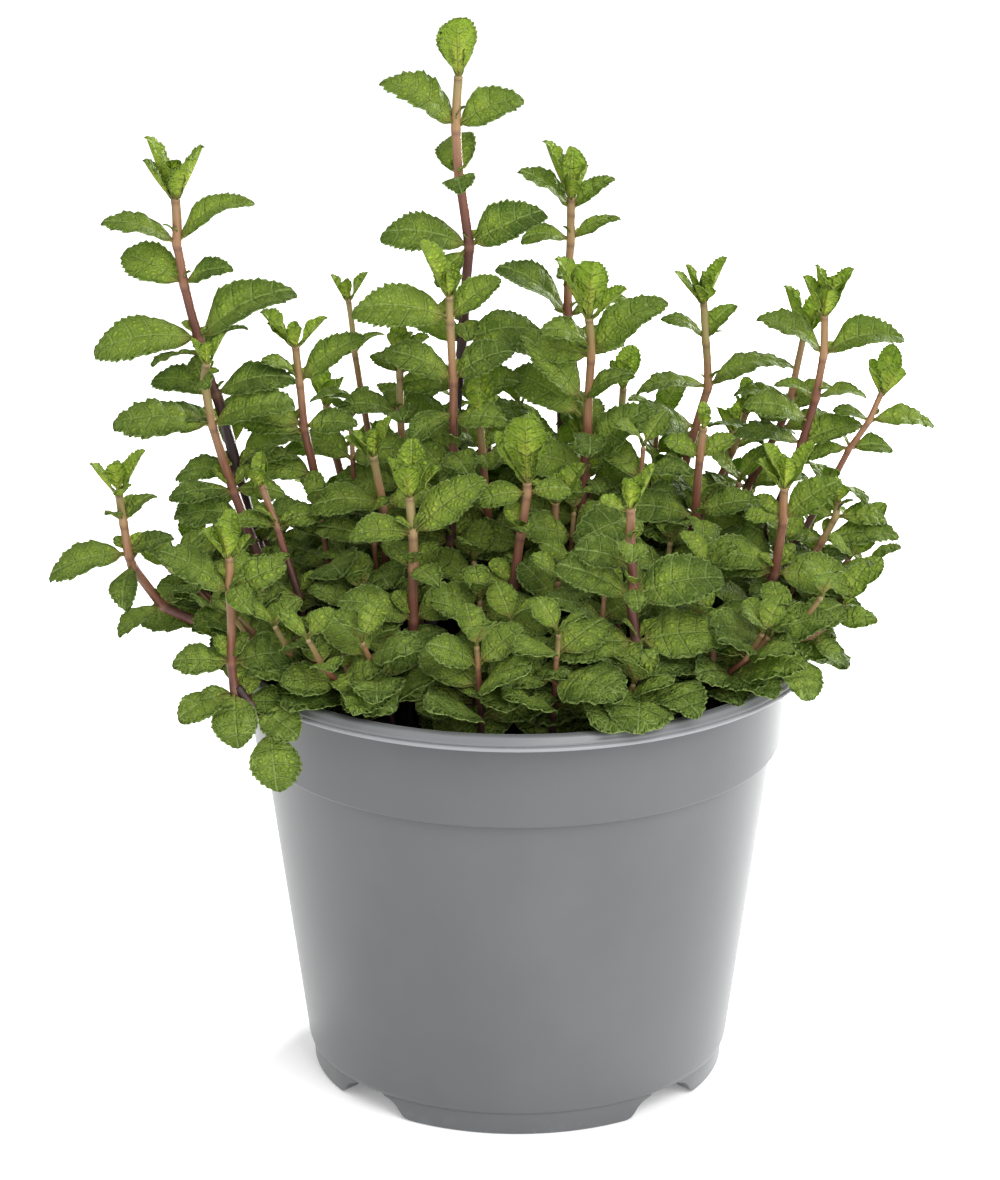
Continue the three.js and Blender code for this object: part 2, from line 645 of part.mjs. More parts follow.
// Plain holes for the stems, drilled along each stem's lean.
for (const { stem } of sprigs) {
  const { start, lean } = new StemPath(stem);
  const radius = stem[1] / Math.SQRT2 / Math.cos(Math.PI / HOLE_SIDES) + HOLE_CLEARANCE;
  const depth = ROOT_DEPTH + 2 * HOLE_CLEARANCE;
  const hole = new THREE.CylinderGeometry(radius, radius, depth + 2 * HOLE_RUN_OUT, HOLE_SIDES);
  hole.translate(0, HOLE_RUN_OUT - depth / 2, 0);
  hole.applyQuaternion(new THREE.Quaternion().setFromUnitVectors(new THREE.Vector3(0, 1, 0), lean));
  hole.translate(start.x, start.y, start.z);
  soil = soil.subtract(solid(hole));
}

const group = new THREE.Group();
group.add(toMesh(tidied(pot), 'pot', GREY_PLASTIC));
group.add(toMesh(tidied(soil), 'soil', DARK_COMPOST));
for (const { stem, body } of sprigs) group.add(toMesh(tidied(body), `sprig_${stem[0]}`, LEAF_GREEN));

// The footprint's middle goes to the origin.
const reach = new THREE.Box3().setFromObject(group);
const middle = reach.getCenter(new THREE.Vector3());
for (const mesh of group.children) mesh.geometry.translate(-middle.x, -middle.y, -reach.min.z);

export default group;
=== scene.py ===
"""Potted mint: a grey nursery pot, its compost and the leafy stems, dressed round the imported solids.

Lengths in the stem table and in the mesh code are millimetres about the pot's axis, and every
finished mesh is moved to the frame's own place and to metres as its last step.
"""

import math

import bpy
import numpy as np
from bpy.props import FloatProperty, FloatVectorProperty, IntProperty, PointerProperty
from mathutils import Euler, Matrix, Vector, kdtree


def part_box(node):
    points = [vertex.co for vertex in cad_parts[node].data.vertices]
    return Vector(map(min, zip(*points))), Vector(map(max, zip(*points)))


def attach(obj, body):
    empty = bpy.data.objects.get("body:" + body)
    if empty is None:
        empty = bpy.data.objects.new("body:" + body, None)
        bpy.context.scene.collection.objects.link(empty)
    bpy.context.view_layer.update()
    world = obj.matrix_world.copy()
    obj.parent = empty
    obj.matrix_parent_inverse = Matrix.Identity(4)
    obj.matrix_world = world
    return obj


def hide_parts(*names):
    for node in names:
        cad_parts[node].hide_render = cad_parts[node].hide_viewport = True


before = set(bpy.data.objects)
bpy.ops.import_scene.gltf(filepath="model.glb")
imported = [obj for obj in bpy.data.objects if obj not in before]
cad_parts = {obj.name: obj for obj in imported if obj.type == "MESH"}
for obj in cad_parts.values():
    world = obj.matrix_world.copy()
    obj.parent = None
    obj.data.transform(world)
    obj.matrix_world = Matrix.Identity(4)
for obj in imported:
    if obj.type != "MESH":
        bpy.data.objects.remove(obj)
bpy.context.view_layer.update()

bl_info = {
    "name": "Potted mint",
    "version": (1, 0, 0),
    "blender": (4, 5, 0),
    "location": "3D View > Sidebar > Mint",
    "description": "Makes a potted mint plant: pot, compost, leafy stems and a studio round them",
    "category": "Add Mesh",
}

MM = 0.001
POT_LOW, POT_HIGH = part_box("pot")
AXIS = np.array([(POT_LOW.x + POT_HIGH.x) / 2, (POT_LOW.y + POT_HIGH.y) / 2, 0.0])

# Pot, as in the solids
RIM_RADIUS = 95.0
RIM_TOP = 144.2
LIP_HEIGHT = 4.6
RIM_FOOT = (RIM_TOP - LIP_HEIGHT) * MM
BAND_FOOT = 111.0
BAND_RADIUS_TOP = 86.2
BAND_RADIUS_FOOT = 84.2
BODY_RADIUS_TOP = 81.6
BODY_RADIUS_FOOT = 68.0
BODY_FOOT = 6.9
WALL = 1.8
FLOOR = 2.4
FOOT_OUTER = 66.5
FOOT_WALL = 5.5
FOOT_GAP_TOP = 11.0
FOOT_GAP_FOOT = 28.0
DRAIN_RADIUS = 4.5
DRAIN_RING = 46.0
DRAIN_SIDES = 28
SOIL_TOP = 130.0
# The compost's mesh: rings across its top, faces round it, and waves that roughen the top
BED_RINGS = 34
BED_SIDES = 110
BED_WAVES = 26

# The camera's place from the pot's foot in metres, and how far it looks down in radians
CAMERA_PLACE = (0, -1.3, 0.6)
CAMERA_DOWN = 0.3274

# How far the leaves that this file adds may reach from the pot's axis
REACH_X = 128.0
REACH_Y = 95.0

# Leaves and stems, as in the solids: a stem's depth in the compost and its girth at the tip, the blade's
# thickness, arch and wave, the shortest leaves that the solids have, and how blades turn to the light
ROOT_DEPTH = 14.0
TIP_GIRTH = 0.72
BLADE = 0.8
ARCH = 0.07
WAVE = 0.022
LEAST_LEAF = 16.5
LEAST_THREE_LEAF_TIP = 19.0
LIGHT_TILT = 30.0
LIGHT_SPREAD = 0.6
LIGHT_TURN = 36.0
MOST_RISE = 86
TIP_LEAF_DROP = 1.5
# The shortest leaves of each finer or coarser grid
LARGE_LEAF = 24.5
MIDDLE_LEAF = 17.0
LEAST_SMALL_LEAF = 7.5
LEAST_LOW_LEAF = 14.0
# The length below a tip over which a stem turns from green to brown
OLD_LENGTH = 105.0
# The other leaves of a tip: degrees round it, share of the first one's length, degrees more rise, age
TIP_SECOND = (180, 0.86, 0, 0.16)
TIP_THIRD = (90, 0.64, 12, 0.04)
TIP_FOURTH = (270, 0.74, 8, 0.0)
# A packed leaf's tip is found if a point of the solid lies this near
FOUND_WITHIN = 0.12
# How much of a leaf may lie where others are already, for each kind of place
OVERLAP = {"grown": 0.05, "young": 0.3, "axil": 0.12, "between": 0.14, "tip": 0.4, "rim": 0.4,
           "low shoot": 0.13, "side shoot": 0.16}

# Where a leaf may turn to: degrees round the stem, degrees up, and share of its length
TURNS = [
    (0, 0, 1), (12, 0, 1), (-12, 0, 1), (0, 12, 1), (0, -12, 1), (22, 8, 1), (-22, 8, 1),
    (22, -10, 0.95), (-22, -10, 0.95), (0, 24, 0.9), (0, -24, 0.9), (35, 0, 0.9), (-35, 0, 0.9),
    (30, 20, 0.85), (-30, 20, 0.85), (48, 5, 0.8), (-48, 5, 0.8), (0, 40, 0.8), (60, 15, 0.7),
    (-60, 15, 0.7), (0, -38, 0.7), (20, 30, 0.65), (-20, 30, 0.65), (0, 12, 0.55),
]

# The stems: name, girth, where it leaves the compost, its nodes and its tip. A node is x, y, z, the way
# its first leaf points (degrees from +X towards +Y), that leaf's length and rise in degrees, and the
# length and rise of the leaf across the stem. A node of three numbers is a bend.
STEMS = [
  ["tall_centre", 3.8, [-14, 20], [
    [-18, 17, 169, 100, 22, 10, 20, 5],
    [-20, 15, 209, 15, 24, 12, 24, 8],
    [-17, 13, 242, 95, 20, 25, 16, 5],
    [-15, 12, 268, 5, 26, 27, 28, 12],
    [-18, 11, 290, 272, 18, 2, 26, 52],
    [-19, 11, 306, 2, 25, 50, 27, 48]],
    [-18, 10, 323, 268, 23, 66]],
  ["tall_left", 3.6, [-62, 6], [
    [-82, 0, 173, 255, 20, 8, 20, 28],
    [-88, -1, 198, 188, 20, 2, 20, 15],
    [-94, -2, 224, 345, 26, 20, 22, 22],
    [-98, -3, 237, 225, 20, 4, 18, 25],
    [-99, -3, 242, 5, 33, 34, 33, -2],
    [-103, -4, 260, 340, 17, 25, 23, 24],
    [-105, -4, 273, 2, 27, 44, 24, 22]],
    [-105, -5, 288, 350, 20, 64]],
  ["right_centre_front", 3.4, [19, 3], [
    [20, 2, 182, 0, 24, 5, 22, 10],
    [22, 1, 210, 272, 18, 0, 20, 30],
    [23, -2, 236, 2, 29, 42, 20, 12]],
    [22, -8, 251, 275, 23, 68]],
  ["right_centre_back", 3.4, [14, 36], [
    [14, 36, 189, 180, 24, 10, 22, 15],
    [14, 35, 212, 92, 20, 20, 20, 0],
    [16, 34, 239, 182, 28, 42, 20, 20],
    [17, 32, 265, 2, 17, 30, 16, 4],
    [17, 31, 275, 2, 17, 40, 21, 52]],
    [17, 30, 280, 85, 17, 70]],
  ["front_centre", 3.4, [-1, -34], [
    [-1, -34, 146, 12, 15, 2, 17, 0],
    [-1, -33, 158, 285, 17, 0, 15, 12],
    [-1, -33, 171, 5, 18, 6, 20, 6],
    [1, -33, 188, 100, 15, 12, 12, 25],
    [3, -32, 201, 190, 16, -4, 14, 5]],
    [3, -32, 205, 268, 27, 70]],
  ["front_right_mid", 3.4, [36, -60], [
    [37, -66, 150, 268, 27, -6, 12, 10],
    [36, -65, 164, 8, 28, 4, 28, -1],
    [34, -64, 178, 4, 29, 25, 25, 28],
    [35, -64, 181, 275, 12, -15, 12, 25],
    [34, -63, 194, 270, 17, 4, 14, 20]],
    [34, -62, 206, 350, 17, 64]],
  ["front_left_mid", 3.4, [-33, -47], [
    [-33, -46, 147, 300, 15, 0, 16, 10],
    [-32, -44, 164, 12, 22, 22, 25, 20],
    [-32, -43, 180, 300, 16, 0, 15, 18],
    [-32, -42, 191, 8, 28, 37, 20, 2]],
    [-33, -40, 203, 85, 19, 68]],
  ["front_right", 3.4, [60, -26], [
    [72, -25, 154, 262, 18, -4, 18, 20],
    [80, -28, 174, 350, 25, -8, 23, 6],
    [82, -31, 192, 5, 21, 37, 12, 10]],
    [82, -34, 204, 2, 18, 60]],
  ["tall_right", 3.3, [66, 10], [
    [80, 10, 176, 95, 18, 10, 18, 8],
    [90, 10, 204, 2, 20, 10, 22, 15],
    [94, 8, 220, 348, 16, 10, 14, 20],
    [96, 7, 234, 2, 26, 16, 24, 33]],
    [96, 6, 248, 2, 18, 62]],
  ["right_back", 3.2, [46, 26], [
    [52, 28, 184, 92, 20, 10, 20, 8],
    [61, 30, 217, 2, 28, 22, 23, 0],
    [60, 28, 233, 8, 15, 56, 18, 58]],
    [59, 26, 247, 2, 17, 66]],
  ["front_left", 3.2, [-57, -42], [
    [-68, -51, 152],
    [-77, -59, 153.5],
    [-84, -66, 145, 200, 15, -12, 17, 8],
    [-86, -66, 149, 290, 18, -58, 0, 0],
    [-87, -64, 157, 190, 18, 6, 22, 6],
    [-87, -63, 179, 182, 25, 36, 19, 30],
    [-87, -63, 182, 300, 14, -20, 12, 20]],
    [-87, -63, 191, 85, 16, 66]],
  ["outer_left", 3.1, [-70, -16], [
    [-82, -19, 152],
    [-102, -22, 156.5],
    [-111, -22, 161, 205, 17, -24, 14, 20],
    [-120, -24, 175, 262, 17, -36, 13, 35],
    [-121, -25, 179, 182, 26, -13, 15, 25],
    [-122, -27, 190, 20, 13, 45, 11, 15]],
    [-123, -29, 201, 358, 17, 62]],
  ["pale_left", 3.2, [-62, -16], [
    [-80, -9, 169, 100, 18, 10, 17, 5],
    [-89, -7, 194, 200, 21, 0, 17, 12],
    [-95, -9, 216, 8, 29, 28, 31, 6],
    [-97, -12, 231, 275, 12, 15, 12, 45]],
    [-96, -14, 238, 2, 12, 62]],
  ["before_centre", 3.2, [-22, -6], [
    [-21, -4, 176, 12, 24, 4, 24, 8],
    [-20, -3, 204, 282, 20, 4, 20, 24],
    [-20, -3, 229, 4, 21, 28, 25, 25],
    [-21, -4, 249, 6, 20, 38, 30, 12]],
    [-21, -5, 257, 85, 12, 68]],
  ["left_mid", 3, [-48, 8], [
    [-60, 4, 174, 105, 20, 10, 20, 6],
    [-67, -1, 213, 350, 17, 8, 27, 20],
    [-68, -2, 228, 2, 25, 36, 15, 28]],
    [-69, -4, 241, 4, 14, 46]],
  ["back_left_thin", 2.6, [-38, 34], [
    [-46, 33, 189, 105, 17, 20, 17, 8],
    [-52, 32, 228, 10, 11, 40, 10, 30]],
    [-54, 33, 246, 355, 12, 58]],
  ["left_inner", 2.8, [-34, 14], [
    [-36, 11, 189, 8, 22, 8, 22, 12],
    [-37, 8, 215, 92, 16, 25, 15, 10],
    [-37, 7, 228, 182, 11, 40, 11, 32]],
    [-37, 6, 236, 85, 12, 68]],
  ["left_fore", 3.2, [-40, -9], [
    [-41, -10, 164, 272, 19, -4, 17, 20],
    [-42, -11, 190, 194, 24, 5, 21, 12]],
    [-45, -14, 208, 2, 15, 66]],
  ["centre", 3, [-8, 4], [
    [-9, 2, 179, 192, 20, 10, 19, 10],
    [-11, -2, 204, 265, 15, 4, 15, 18]],
    [-12, -4, 218, 88, 15, 68]],
  ["centre_low", 2.8, [12, -14], [
    [12, -13, 156, 2, 20, 5, 19, 0],
    [12, -13, 176, 92, 16, 15, 16, 0]],
    [12, -14, 193, 12, 16, 56]],
  ["centre_right", 3, [24, 18], [
    [23, 15, 173, 8, 22, 8, 21, 10],
    [22, 12, 191, 95, 18, 15, 15, 8]],
    [21, 8, 207, 88, 15, 66]],
  ["right_mid", 3.2, [44, -4], [
    [50, -5, 164, 4, 22, 8, 22, 10],
    [56, -6, 184, 275, 20, 0, 20, 30],
    [57, -8, 205, 6, 13, 32, 13, 30]],
    [58, -9, 216, 88, 9, 68]],
  ["right_behind", 3, [58, 30], [
    [74, 29, 184, 4, 20, 10, 20, 8],
    [86, 26, 210, 240, 16, 8, 16, 22],
    [87, 26, 214, 182, 20, 35, 15, 20]],
    [91, 25, 236, 2, 11, 60]],
  ["far_right", 2.6, [70, -2], [
    [84, 2, 166, 92, 16, 8, 15, 6],
    [98, 7, 190, 305, 20, -4, 18, 20],
    [105, 9, 203, 4, 14, 4, 14, 2],
    [111, 9, 212, 2, 21, -2, 12, 22]],
    [115, 9, 222, 300, 15, 52]],
  ["right_outer", 3, [72, -14], [
    [85, -10, 159, 5, 19, 4, 18, 10],
    [96, -6, 177, 352, 24, 10, 17, 12],
    [100, -6, 185, 8, 17, -16, 12, 20]],
    [101, -6, 191, 80, 14, 66]],
  ["creeping_right", 2.4, [70, -34], [
    [80, -33, 152, 265, 14, -28, 11, 10],
    [91, -34, 155, 335, 13, -34, 10, 20],
    [98, -32, 159, 350, 14, 12, 11, 20]],
    [101, -31, 166, 20, 10, 50]],
  ["left_twin", 2.6, [-62, -28], [
    [-68, -22, 164, 190, 18, 2, 18, 8],
    [-75, -16, 185, 10, 16, 18, 14, 12]],
    [-80, -13, 198, 88, 12, 66]],
  ["front_low_left", 2.4, [-50, -58], [
    [-51, -60, 145, 195, 18, 4, 18, 0],
    [-52, -61, 153, 275, 17, 0, 14, 18]],
    [-52, -61, 161, 5, 10, 55]],
  ["front_low_centre", 2.4, [-14, -62], [
    [-14, -63, 143, 5, 17, 2, 17, 2],
    [-14, -64, 151, 275, 14, 4, 13, 20]],
    [-14, -64, 158, 5, 9, 55]],
  ["front_low_mid", 2.4, [13, -54], [
    [13, -56, 144, 200, 17, 2, 17, 4],
    [13, -57, 154, 285, 15, 2, 14, 18]],
    [13, -57, 162, 10, 10, 55]],
  ["front_low_right", 2.4, [56, -48], [
    [58, -50, 144, 300, 18, 4, 17, 6],
    [60, -51, 154, 15, 17, 6, 15, 14]],
    [61, -51, 163, 280, 10, 55]],
  ["side_low_left", 2.4, [-76, -6], [
    [-82, -6, 152, 95, 17, 4, 16, 2],
    [-88, -5, 161, 190, 17, 8, 14, 16]],
    [-90, -5, 169, 100, 10, 55]],
  ["side_low_right", 2.4, [74, 24], [
    [80, 26, 151, 85, 17, 4, 17, 2],
    [86, 26, 160, 5, 17, 6, 16, 16]],
    [89, 26, 168, 90, 10, 55]],
  ["back_right_tip", 2.8, [44, 44], [
    [60, 46, 169, 95, 22, 8, 21, 6],
    [70, 43, 192, 10, 21, 20, 20, 14]],
    [74, 41, 206, 95, 13, 62]],
  ["back_left", 3.2, [-44, 56], [
    [-47, 60, 148, 40, 22, 2, 22, 2],
    [-54, 62, 162, 120, 24, 4, 22, 8],
    [-60, 65, 184, 35, 23, 12, 22, 14]],
    [-63, 66, 201, 120, 16, 60]],
  ["back_centre", 3.4, [-8, 62], [
    [-8, 66, 148, 10, 22, 2, 22, 2],
    [-9, 70, 162, 95, 24, 2, 22, 8],
    [-10, 74, 184, 5, 24, 12, 24, 12]],
    [-10, 75, 204, 95, 17, 60]],
  ["back_right", 3.2, [24, 58], [
    [27, 63, 149, 345, 21, 2, 21, 2],
    [30, 68, 164, 70, 24, 4, 22, 10],
    [34, 72, 188, 340, 22, 14, 22, 14]],
    [35, 73, 205, 70, 16, 60]],
  ["back_far_right", 2.8, [53, 52], [
    [64, 62, 162, 40, 22, 2, 20, 10],
    [69, 66, 178, 125, 20, 14, 19, 12]],
    [71, 67, 192, 40, 14, 58]],
  ["back_far_left", 2.8, [-66, 34], [
    [-73, 36, 149, 75, 20, 2, 20, 2],
    [-82, 38, 161, 165, 21, 2, 20, 10],
    [-90, 38, 180, 80, 20, 12, 20, 10]],
    [-93, 38, 196, 165, 15, 60]],
  ["back_inner_left", 2.8, [-22, 42], [
    [-26, 46, 166, 20, 22, 6, 22, 8],
    [-28, 48, 190, 110, 20, 14, 19, 8]],
    [-29, 49, 208, 20, 14, 62]],
]

# Leaves over the rim: the stem they are on, x, y, z, azimuth, length and rise
RIM_LEAVES = [
    ("front_left", -75, -71, 139, 285, 20, -66), ("front_left", -79, -68, 144, 335, 17, -20),
    ("front_left", -88, -66, 148, 212, 18, -14), ("front_low_left", -54, -66, 151, 318, 22, -6),
    ("front_left_mid", -42, -70, 150, 250, 18, 0), ("front_low_centre", -14, -68, 146, 200, 18, 4),
    ("front_low_mid", 14, -66, 147, 330, 19, 2), ("front_right_mid", 42, -66, 150, 305, 22, -4),
    ("front_low_right", 66, -54, 150, 310, 19, -6), ("creeping_right", 84, -38, 151, 290, 19, -30),
]

# Leaves between a stem's nodes, too many for the solids: the stem, x, y, z, azimuth, length and rise
MORE_LEAVES = [
    ("tall_centre", -16, 12, 267, 213, 15, -42), ("tall_centre", -17, 13, 237, 14, 26, 5),
    ("tall_centre", -17, 13, 236, 150, 22, 22), ("tall_centre", -18, 14, 222, 200, 20, 12),
    ("tall_centre", -18, 14, 221, 330, 22, 15), ("right_centre_back", 15, 34, 226, 28, 22, 14),
    ("right_centre_back", 15, 34, 224, 205, 24, 20), ("right_centre_back", 15, 33, 250, 260, 12, 30),
    ("right_centre_front", 23, -2, 239, 212, 20, 30), ("right_centre_front", 20, -1, 222, 192, 29, 50),
    ("right_centre_front", 21, -1, 222, 335, 19, 38), ("right_centre_front", 20, 1, 216, 158, 27, 28),
    ("right_centre_front", 22, 1, 201, 352, 28, 44), ("right_centre_front", 22, 1, 198, 190, 24, 20),
    ("before_centre", -20, -3, 218, 211, 18, -20), ("before_centre", -20, -3, 216, 340, 20, 10),
    ("centre", -11, -2, 205, 212, 17, -12), ("centre", -11, -2, 203, 21, 19, 0),
    ("left_inner", -37, 8, 214, 188, 20, 15), ("left_inner", -37, 8, 203, 20, 22, 10),
    ("left_mid", -64, 2, 196, 170, 22, 10), ("left_mid", -67, -1, 211, 175, 20, 25),
    ("right_back", 57, 29, 204, 200, 26, 12), ("right_back", 57, 29, 203, 330, 24, 8),
    ("right_mid", 56, -6, 186, 5, 22, 12), ("right_mid", 55, -6, 185, 190, 24, 14),
    ("tall_right", 87, 10, 197, 250, 20, 6), ("tall_right", 92, 9, 212, 190, 22, 18),
    ("right_behind", 84, 27, 204, 10, 24, 6), ("tall_left", -92, -2, 214, 195, 24, 8),
    ("tall_left", -88, -1, 199, 20, 24, 14), ("pale_left", -86, -7, 185, 182, 22, 6),
    ("front_right", 80, -28, 176, 185, 24, 12), ("front_right_mid", 34, -63, 188, 182, 18, 18),
    ("centre_right", 22, 11, 190, 2, 22, 14), ("centre_right", 22, 11, 189, 184, 22, 16),
    ("back_right_tip", 68, 43, 190, 190, 22, 14), ("back_left_thin", -49, 32, 210, 190, 18, 12),
]

# More leaves at the fullest tips: the stem, azimuth, length and rise
TIP_LEAVES = [
    ("tall_left", 196, 23, 68), ("tall_left", 300, 19, 56), ("right_centre_front", 200, 23, 62),
    ("right_centre_front", 340, 17, 44), ("right_centre_back", 186, 21, 66), ("front_centre", 186, 20, 70),
    ("front_centre", 352, 19, 68), ("front_left_mid", 195, 15, 62), ("front_left_mid", 345, 15, 62),
    ("tall_right", 200, 18, 68), ("tall_right", 300, 16, 58), ("left_mid", 186, 17, 50),
    ("left_fore", 190, 13, 66), ("right_back", 270, 13, 55), ("outer_left", 285, 13, 24),
    ("front_right", 200, 17, 64), ("front_left", 200, 14, 66), ("before_centre", 192, 21, 62),
    ("right_behind", 186, 19, 70), ("right_behind", 20, 18, 62), ("left_inner", 335, 13, 36),
    ("far_right", 60, 17, 58), ("right_back", 196, 15, 50), ("tall_centre", 80, 15, 72),
]

# A stem that hangs over the rim at the front left, as corner points
HANGING_STEM = [np.array(p, float) for p in ((-85, -66, 150), (-81, -68, 145), (-75, -71, 139))]

# Where shoots lean out over the rim, in degrees from +X towards +Y
SIDE_SHOOTS = [150, 163, 174, 184, 192, 200, 209, 220, 234, 320, 332, 341, 350, 0, 10, 22, 36, 60, 92,
               122]

# The low shoots are four pieces, one for each quarter of the pot
LOW_SHOOTS = ["low_shoots_right_back", "low_shoots_left_back", "low_shoots_left_front",
              "low_shoots_right_front"]
# The lengths of their leaves from the tip down, in the middle and over the rim
LOW_SIZES, SIDE_SIZES = (14, 20, 25, 28), (13, 17, 19, 20)
# Low leaves that the crowd would hide from everywhere are left out
HIDDEN_BELOW = 158.0
HIDDEN_WITHIN = 56.0
# How far out the low shoots spread, and where shoots at the side are rooted
CROWD_RADIUS = 77.0
OUTER_ROOT = 78.0
SIDE_ROOT = 76.0
LOW_GIRTH = 2.0
HANGING_GIRTH = 2.6
# Ages from 0 for a bud to 1 for a grown leaf
TIP_AGE, RIM_AGE, BETWEEN_AGE = 0.2, 0.9, 0.92
LEAF_SLOT, STEM_SLOT = 0, 1


# Meshes

def new_object(name, data):
    """An object in the scene, at the origin."""
    made = bpy.data.objects.new(name, data)
    bpy.context.scene.collection.objects.link(made)
    return made


def places_of(mesh):
    """A mesh's points, as rows of millimetres about the pot's axis."""
    places = np.zeros(len(mesh.vertices) * 3, np.float32)
    mesh.vertices.foreach_get("co", places)
    return (places.reshape(-1, 3).astype(float) - AXIS) / MM


def triples(*values):
    """Three values a point. One that is the same at every point may be given once."""
    return np.stack(np.broadcast_arrays(*values), -1)


def turns(count):
    """Angles in even steps round a circle."""
    return np.arange(count) * 2 * math.pi / count


def level_way(angle):
    return np.array([math.cos(angle), math.sin(angle), 0.0])


def upwards(height):
    return np.array([0, 0, height])


class Shell:
    """Gathers closed sheets and tubes with their attributes and turns them into one mesh."""

    def __init__(self):
        self.points, self.corners, self.sizes, self.slots = [], [], [], []
        self.layers = {"rib": [], "sheet": [], "tone": []}
        self.count = 0

    def add(self, points, faces, slot=0, **layers):
        """Points are millimetres about the pot's axis. Faces is a list of arrays, one row a face."""
        self.points.append(points)
        for group in faces:
            group = np.asarray(group)
            self.corners.append((group + self.count).ravel())
            self.sizes.append(np.full(len(group), group.shape[1]))
            self.slots.append(np.full(len(group), slot))
        for name, kept in self.layers.items():
            values = layers.get(name)
            kept.append(np.zeros((len(points), 3)) if values is None else values)
        self.count += len(points)

    def build(self, name, materials):
        """Makes the object in the frame's own place, in metres, with smooth faces."""
        mesh = bpy.data.meshes.new(name)
        points = np.concatenate(self.points) * MM + AXIS
        corners = np.concatenate(self.corners).astype(np.int32)
        sizes = np.concatenate(self.sizes).astype(np.int32)
        mesh.vertices.add(len(points))
        mesh.vertices.foreach_set("co", points.astype(np.float32).ravel())
        mesh.loops.add(len(corners))
        mesh.loops.foreach_set("vertex_index", corners)
        mesh.polygons.add(len(sizes))
        starts = np.concatenate(([0], np.cumsum(sizes)[:-1]))
        mesh.polygons.foreach_set("loop_start", starts.astype(np.int32))
        mesh.polygons.foreach_set("material_index", np.concatenate(self.slots).astype(np.int32))
        mesh.polygons.foreach_set("use_smooth", np.ones(len(sizes), bool))
        mesh.update(calc_edges=True)
        for layer, values in self.layers.items():
            stored = mesh.attributes.new(layer, "FLOAT_VECTOR", "POINT")
            stored.data.foreach_set("vector", np.concatenate(values).astype(np.float32).ravel())
        mesh.validate()
        for material in materials:
            mesh.materials.append(material)
        return new_object(name, mesh)


def settle(piece, slot, *nodes):
    """Puts a finished piece on the root body and hides the solids it stands for. Its slot is not used."""
    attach(piece, "root")
    if nodes:
        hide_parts(*nodes)


def ring_faces(rings, sides):
    """Quads between closed rings that are stored one after the other."""
    ring = np.arange(rings - 1)[:, None] * sides
    side = np.arange(sides)[None, :]
    after = (side + 1) % sides
    corners = [ring + side, ring + after, ring + sides + after, ring + sides + side]
    return np.stack(corners, -1).reshape(-1, 4)


def smooth_step(low, high, values):
    share = np.clip((values - low) / (high - low), 0, 1)
    return share * share * (3 - 2 * share)


# Leaves

class LeafKind:
    """The grid of a leaf: rows along it that follow its side veins, and columns across it."""

    def __init__(self, teeth, rows_a_tooth, columns, veins, stalk_rows=3):
        self.veins, self.columns = veins, columns
        blade_rows = teeth * rows_a_tooth
        self.along = np.linspace(0, 1, blade_rows + 1)
        self.stalk = np.linspace(0, 0.86, stalk_rows)
        part = (np.arange(blade_rows + 1) % rows_a_tooth) / rows_a_tooth
        top = (rows_a_tooth - 1) / rows_a_tooth
        self.bite = np.where(part == 0, -0.35, part / top)
        self.bite[0] = 0
        self.tooth_of_row = np.arange(blade_rows + 1) // rows_a_tooth
        half = (np.arange(columns + 1) / columns) ** 1.25
        self.across = np.concatenate([-half[:0:-1], half])
        self.rows = stalk_rows + blade_rows + 1
        wide = 2 * columns + 1
        row = np.arange(self.rows - 1)[:, None] * wide
        column = np.arange(wide - 1)[None, :]
        first = row + column
        upper = np.stack([first, first + wide, first + wide + 1, first + 1], -1).reshape(-1, 4)
        total = self.rows * wide
        under = upper[:, ::-1] + total
        edge = [r * wide for r in range(self.rows - 1, -1, -1)]
        edge += [c for c in range(1, wide)]
        edge += [r * wide + wide - 1 for r in range(1, self.rows)]
        edge += [(self.rows - 1) * wide + c for c in range(wide - 2, 0, -1)]
        edge = np.array(edge)
        after = np.roll(edge, -1)
        rim = np.stack([after, edge, edge + total, after + total], -1)
        self.faces = [upper, under, rim]


LEAF_KINDS = {
    "large": LeafKind(teeth=13, rows_a_tooth=2, columns=5, veins=5),
    "middle": LeafKind(teeth=10, rows_a_tooth=2, columns=4, veins=4),
    "small": LeafKind(teeth=7, rows_a_tooth=2, columns=3, veins=3),
    "bud": LeafKind(teeth=4, rows_a_tooth=2, columns=2, veins=2, stalk_rows=2),
    "low": LeafKind(teeth=9, rows_a_tooth=2, columns=3, veins=4, stalk_rows=2),
    "low small": LeafKind(teeth=6, rows_a_tooth=2, columns=3, veins=3, stalk_rows=2),
}
# Where along a leaf its edge starts to wave
WAVE_START = {"large": 0.2, "middle": 0.23, "small": 0.3, "bud": 0.3, "low": 0.23, "low small": 0.3}


def leaf_size(length, low):
    if low:
        return "low" if length >= LEAST_LOW_LEAF else "low small"
    if length >= LARGE_LEAF:
        return "large"
    if length >= MIDDLE_LEAF:
        return "middle"
    return "small" if length >= LEAST_SMALL_LEAF else "bud"


def leaf_axes(node, azimuth, rise, tilt=LIGHT_TILT):
    """The way along a blade, across it and out of its upper face, which leans to the light."""
    turn, up = math.radians(azimuth), math.radians(rise)
    along = np.array([math.cos(turn) * math.cos(up), math.sin(turn) * math.cos(up), math.sin(up)])
    flat = np.array([-math.sin(turn), math.cos(turn), 0.0])
    light = np.array([node[0] * LIGHT_SPREAD, node[1] - LIGHT_TURN, 0.0])
    light /= np.linalg.norm(light)
    lean = -math.radians(tilt) * float(light @ flat)
    across = flat * math.cos(lean) + np.cross(along, flat) * math.sin(lean)
    return along, across, np.cross(along, across)


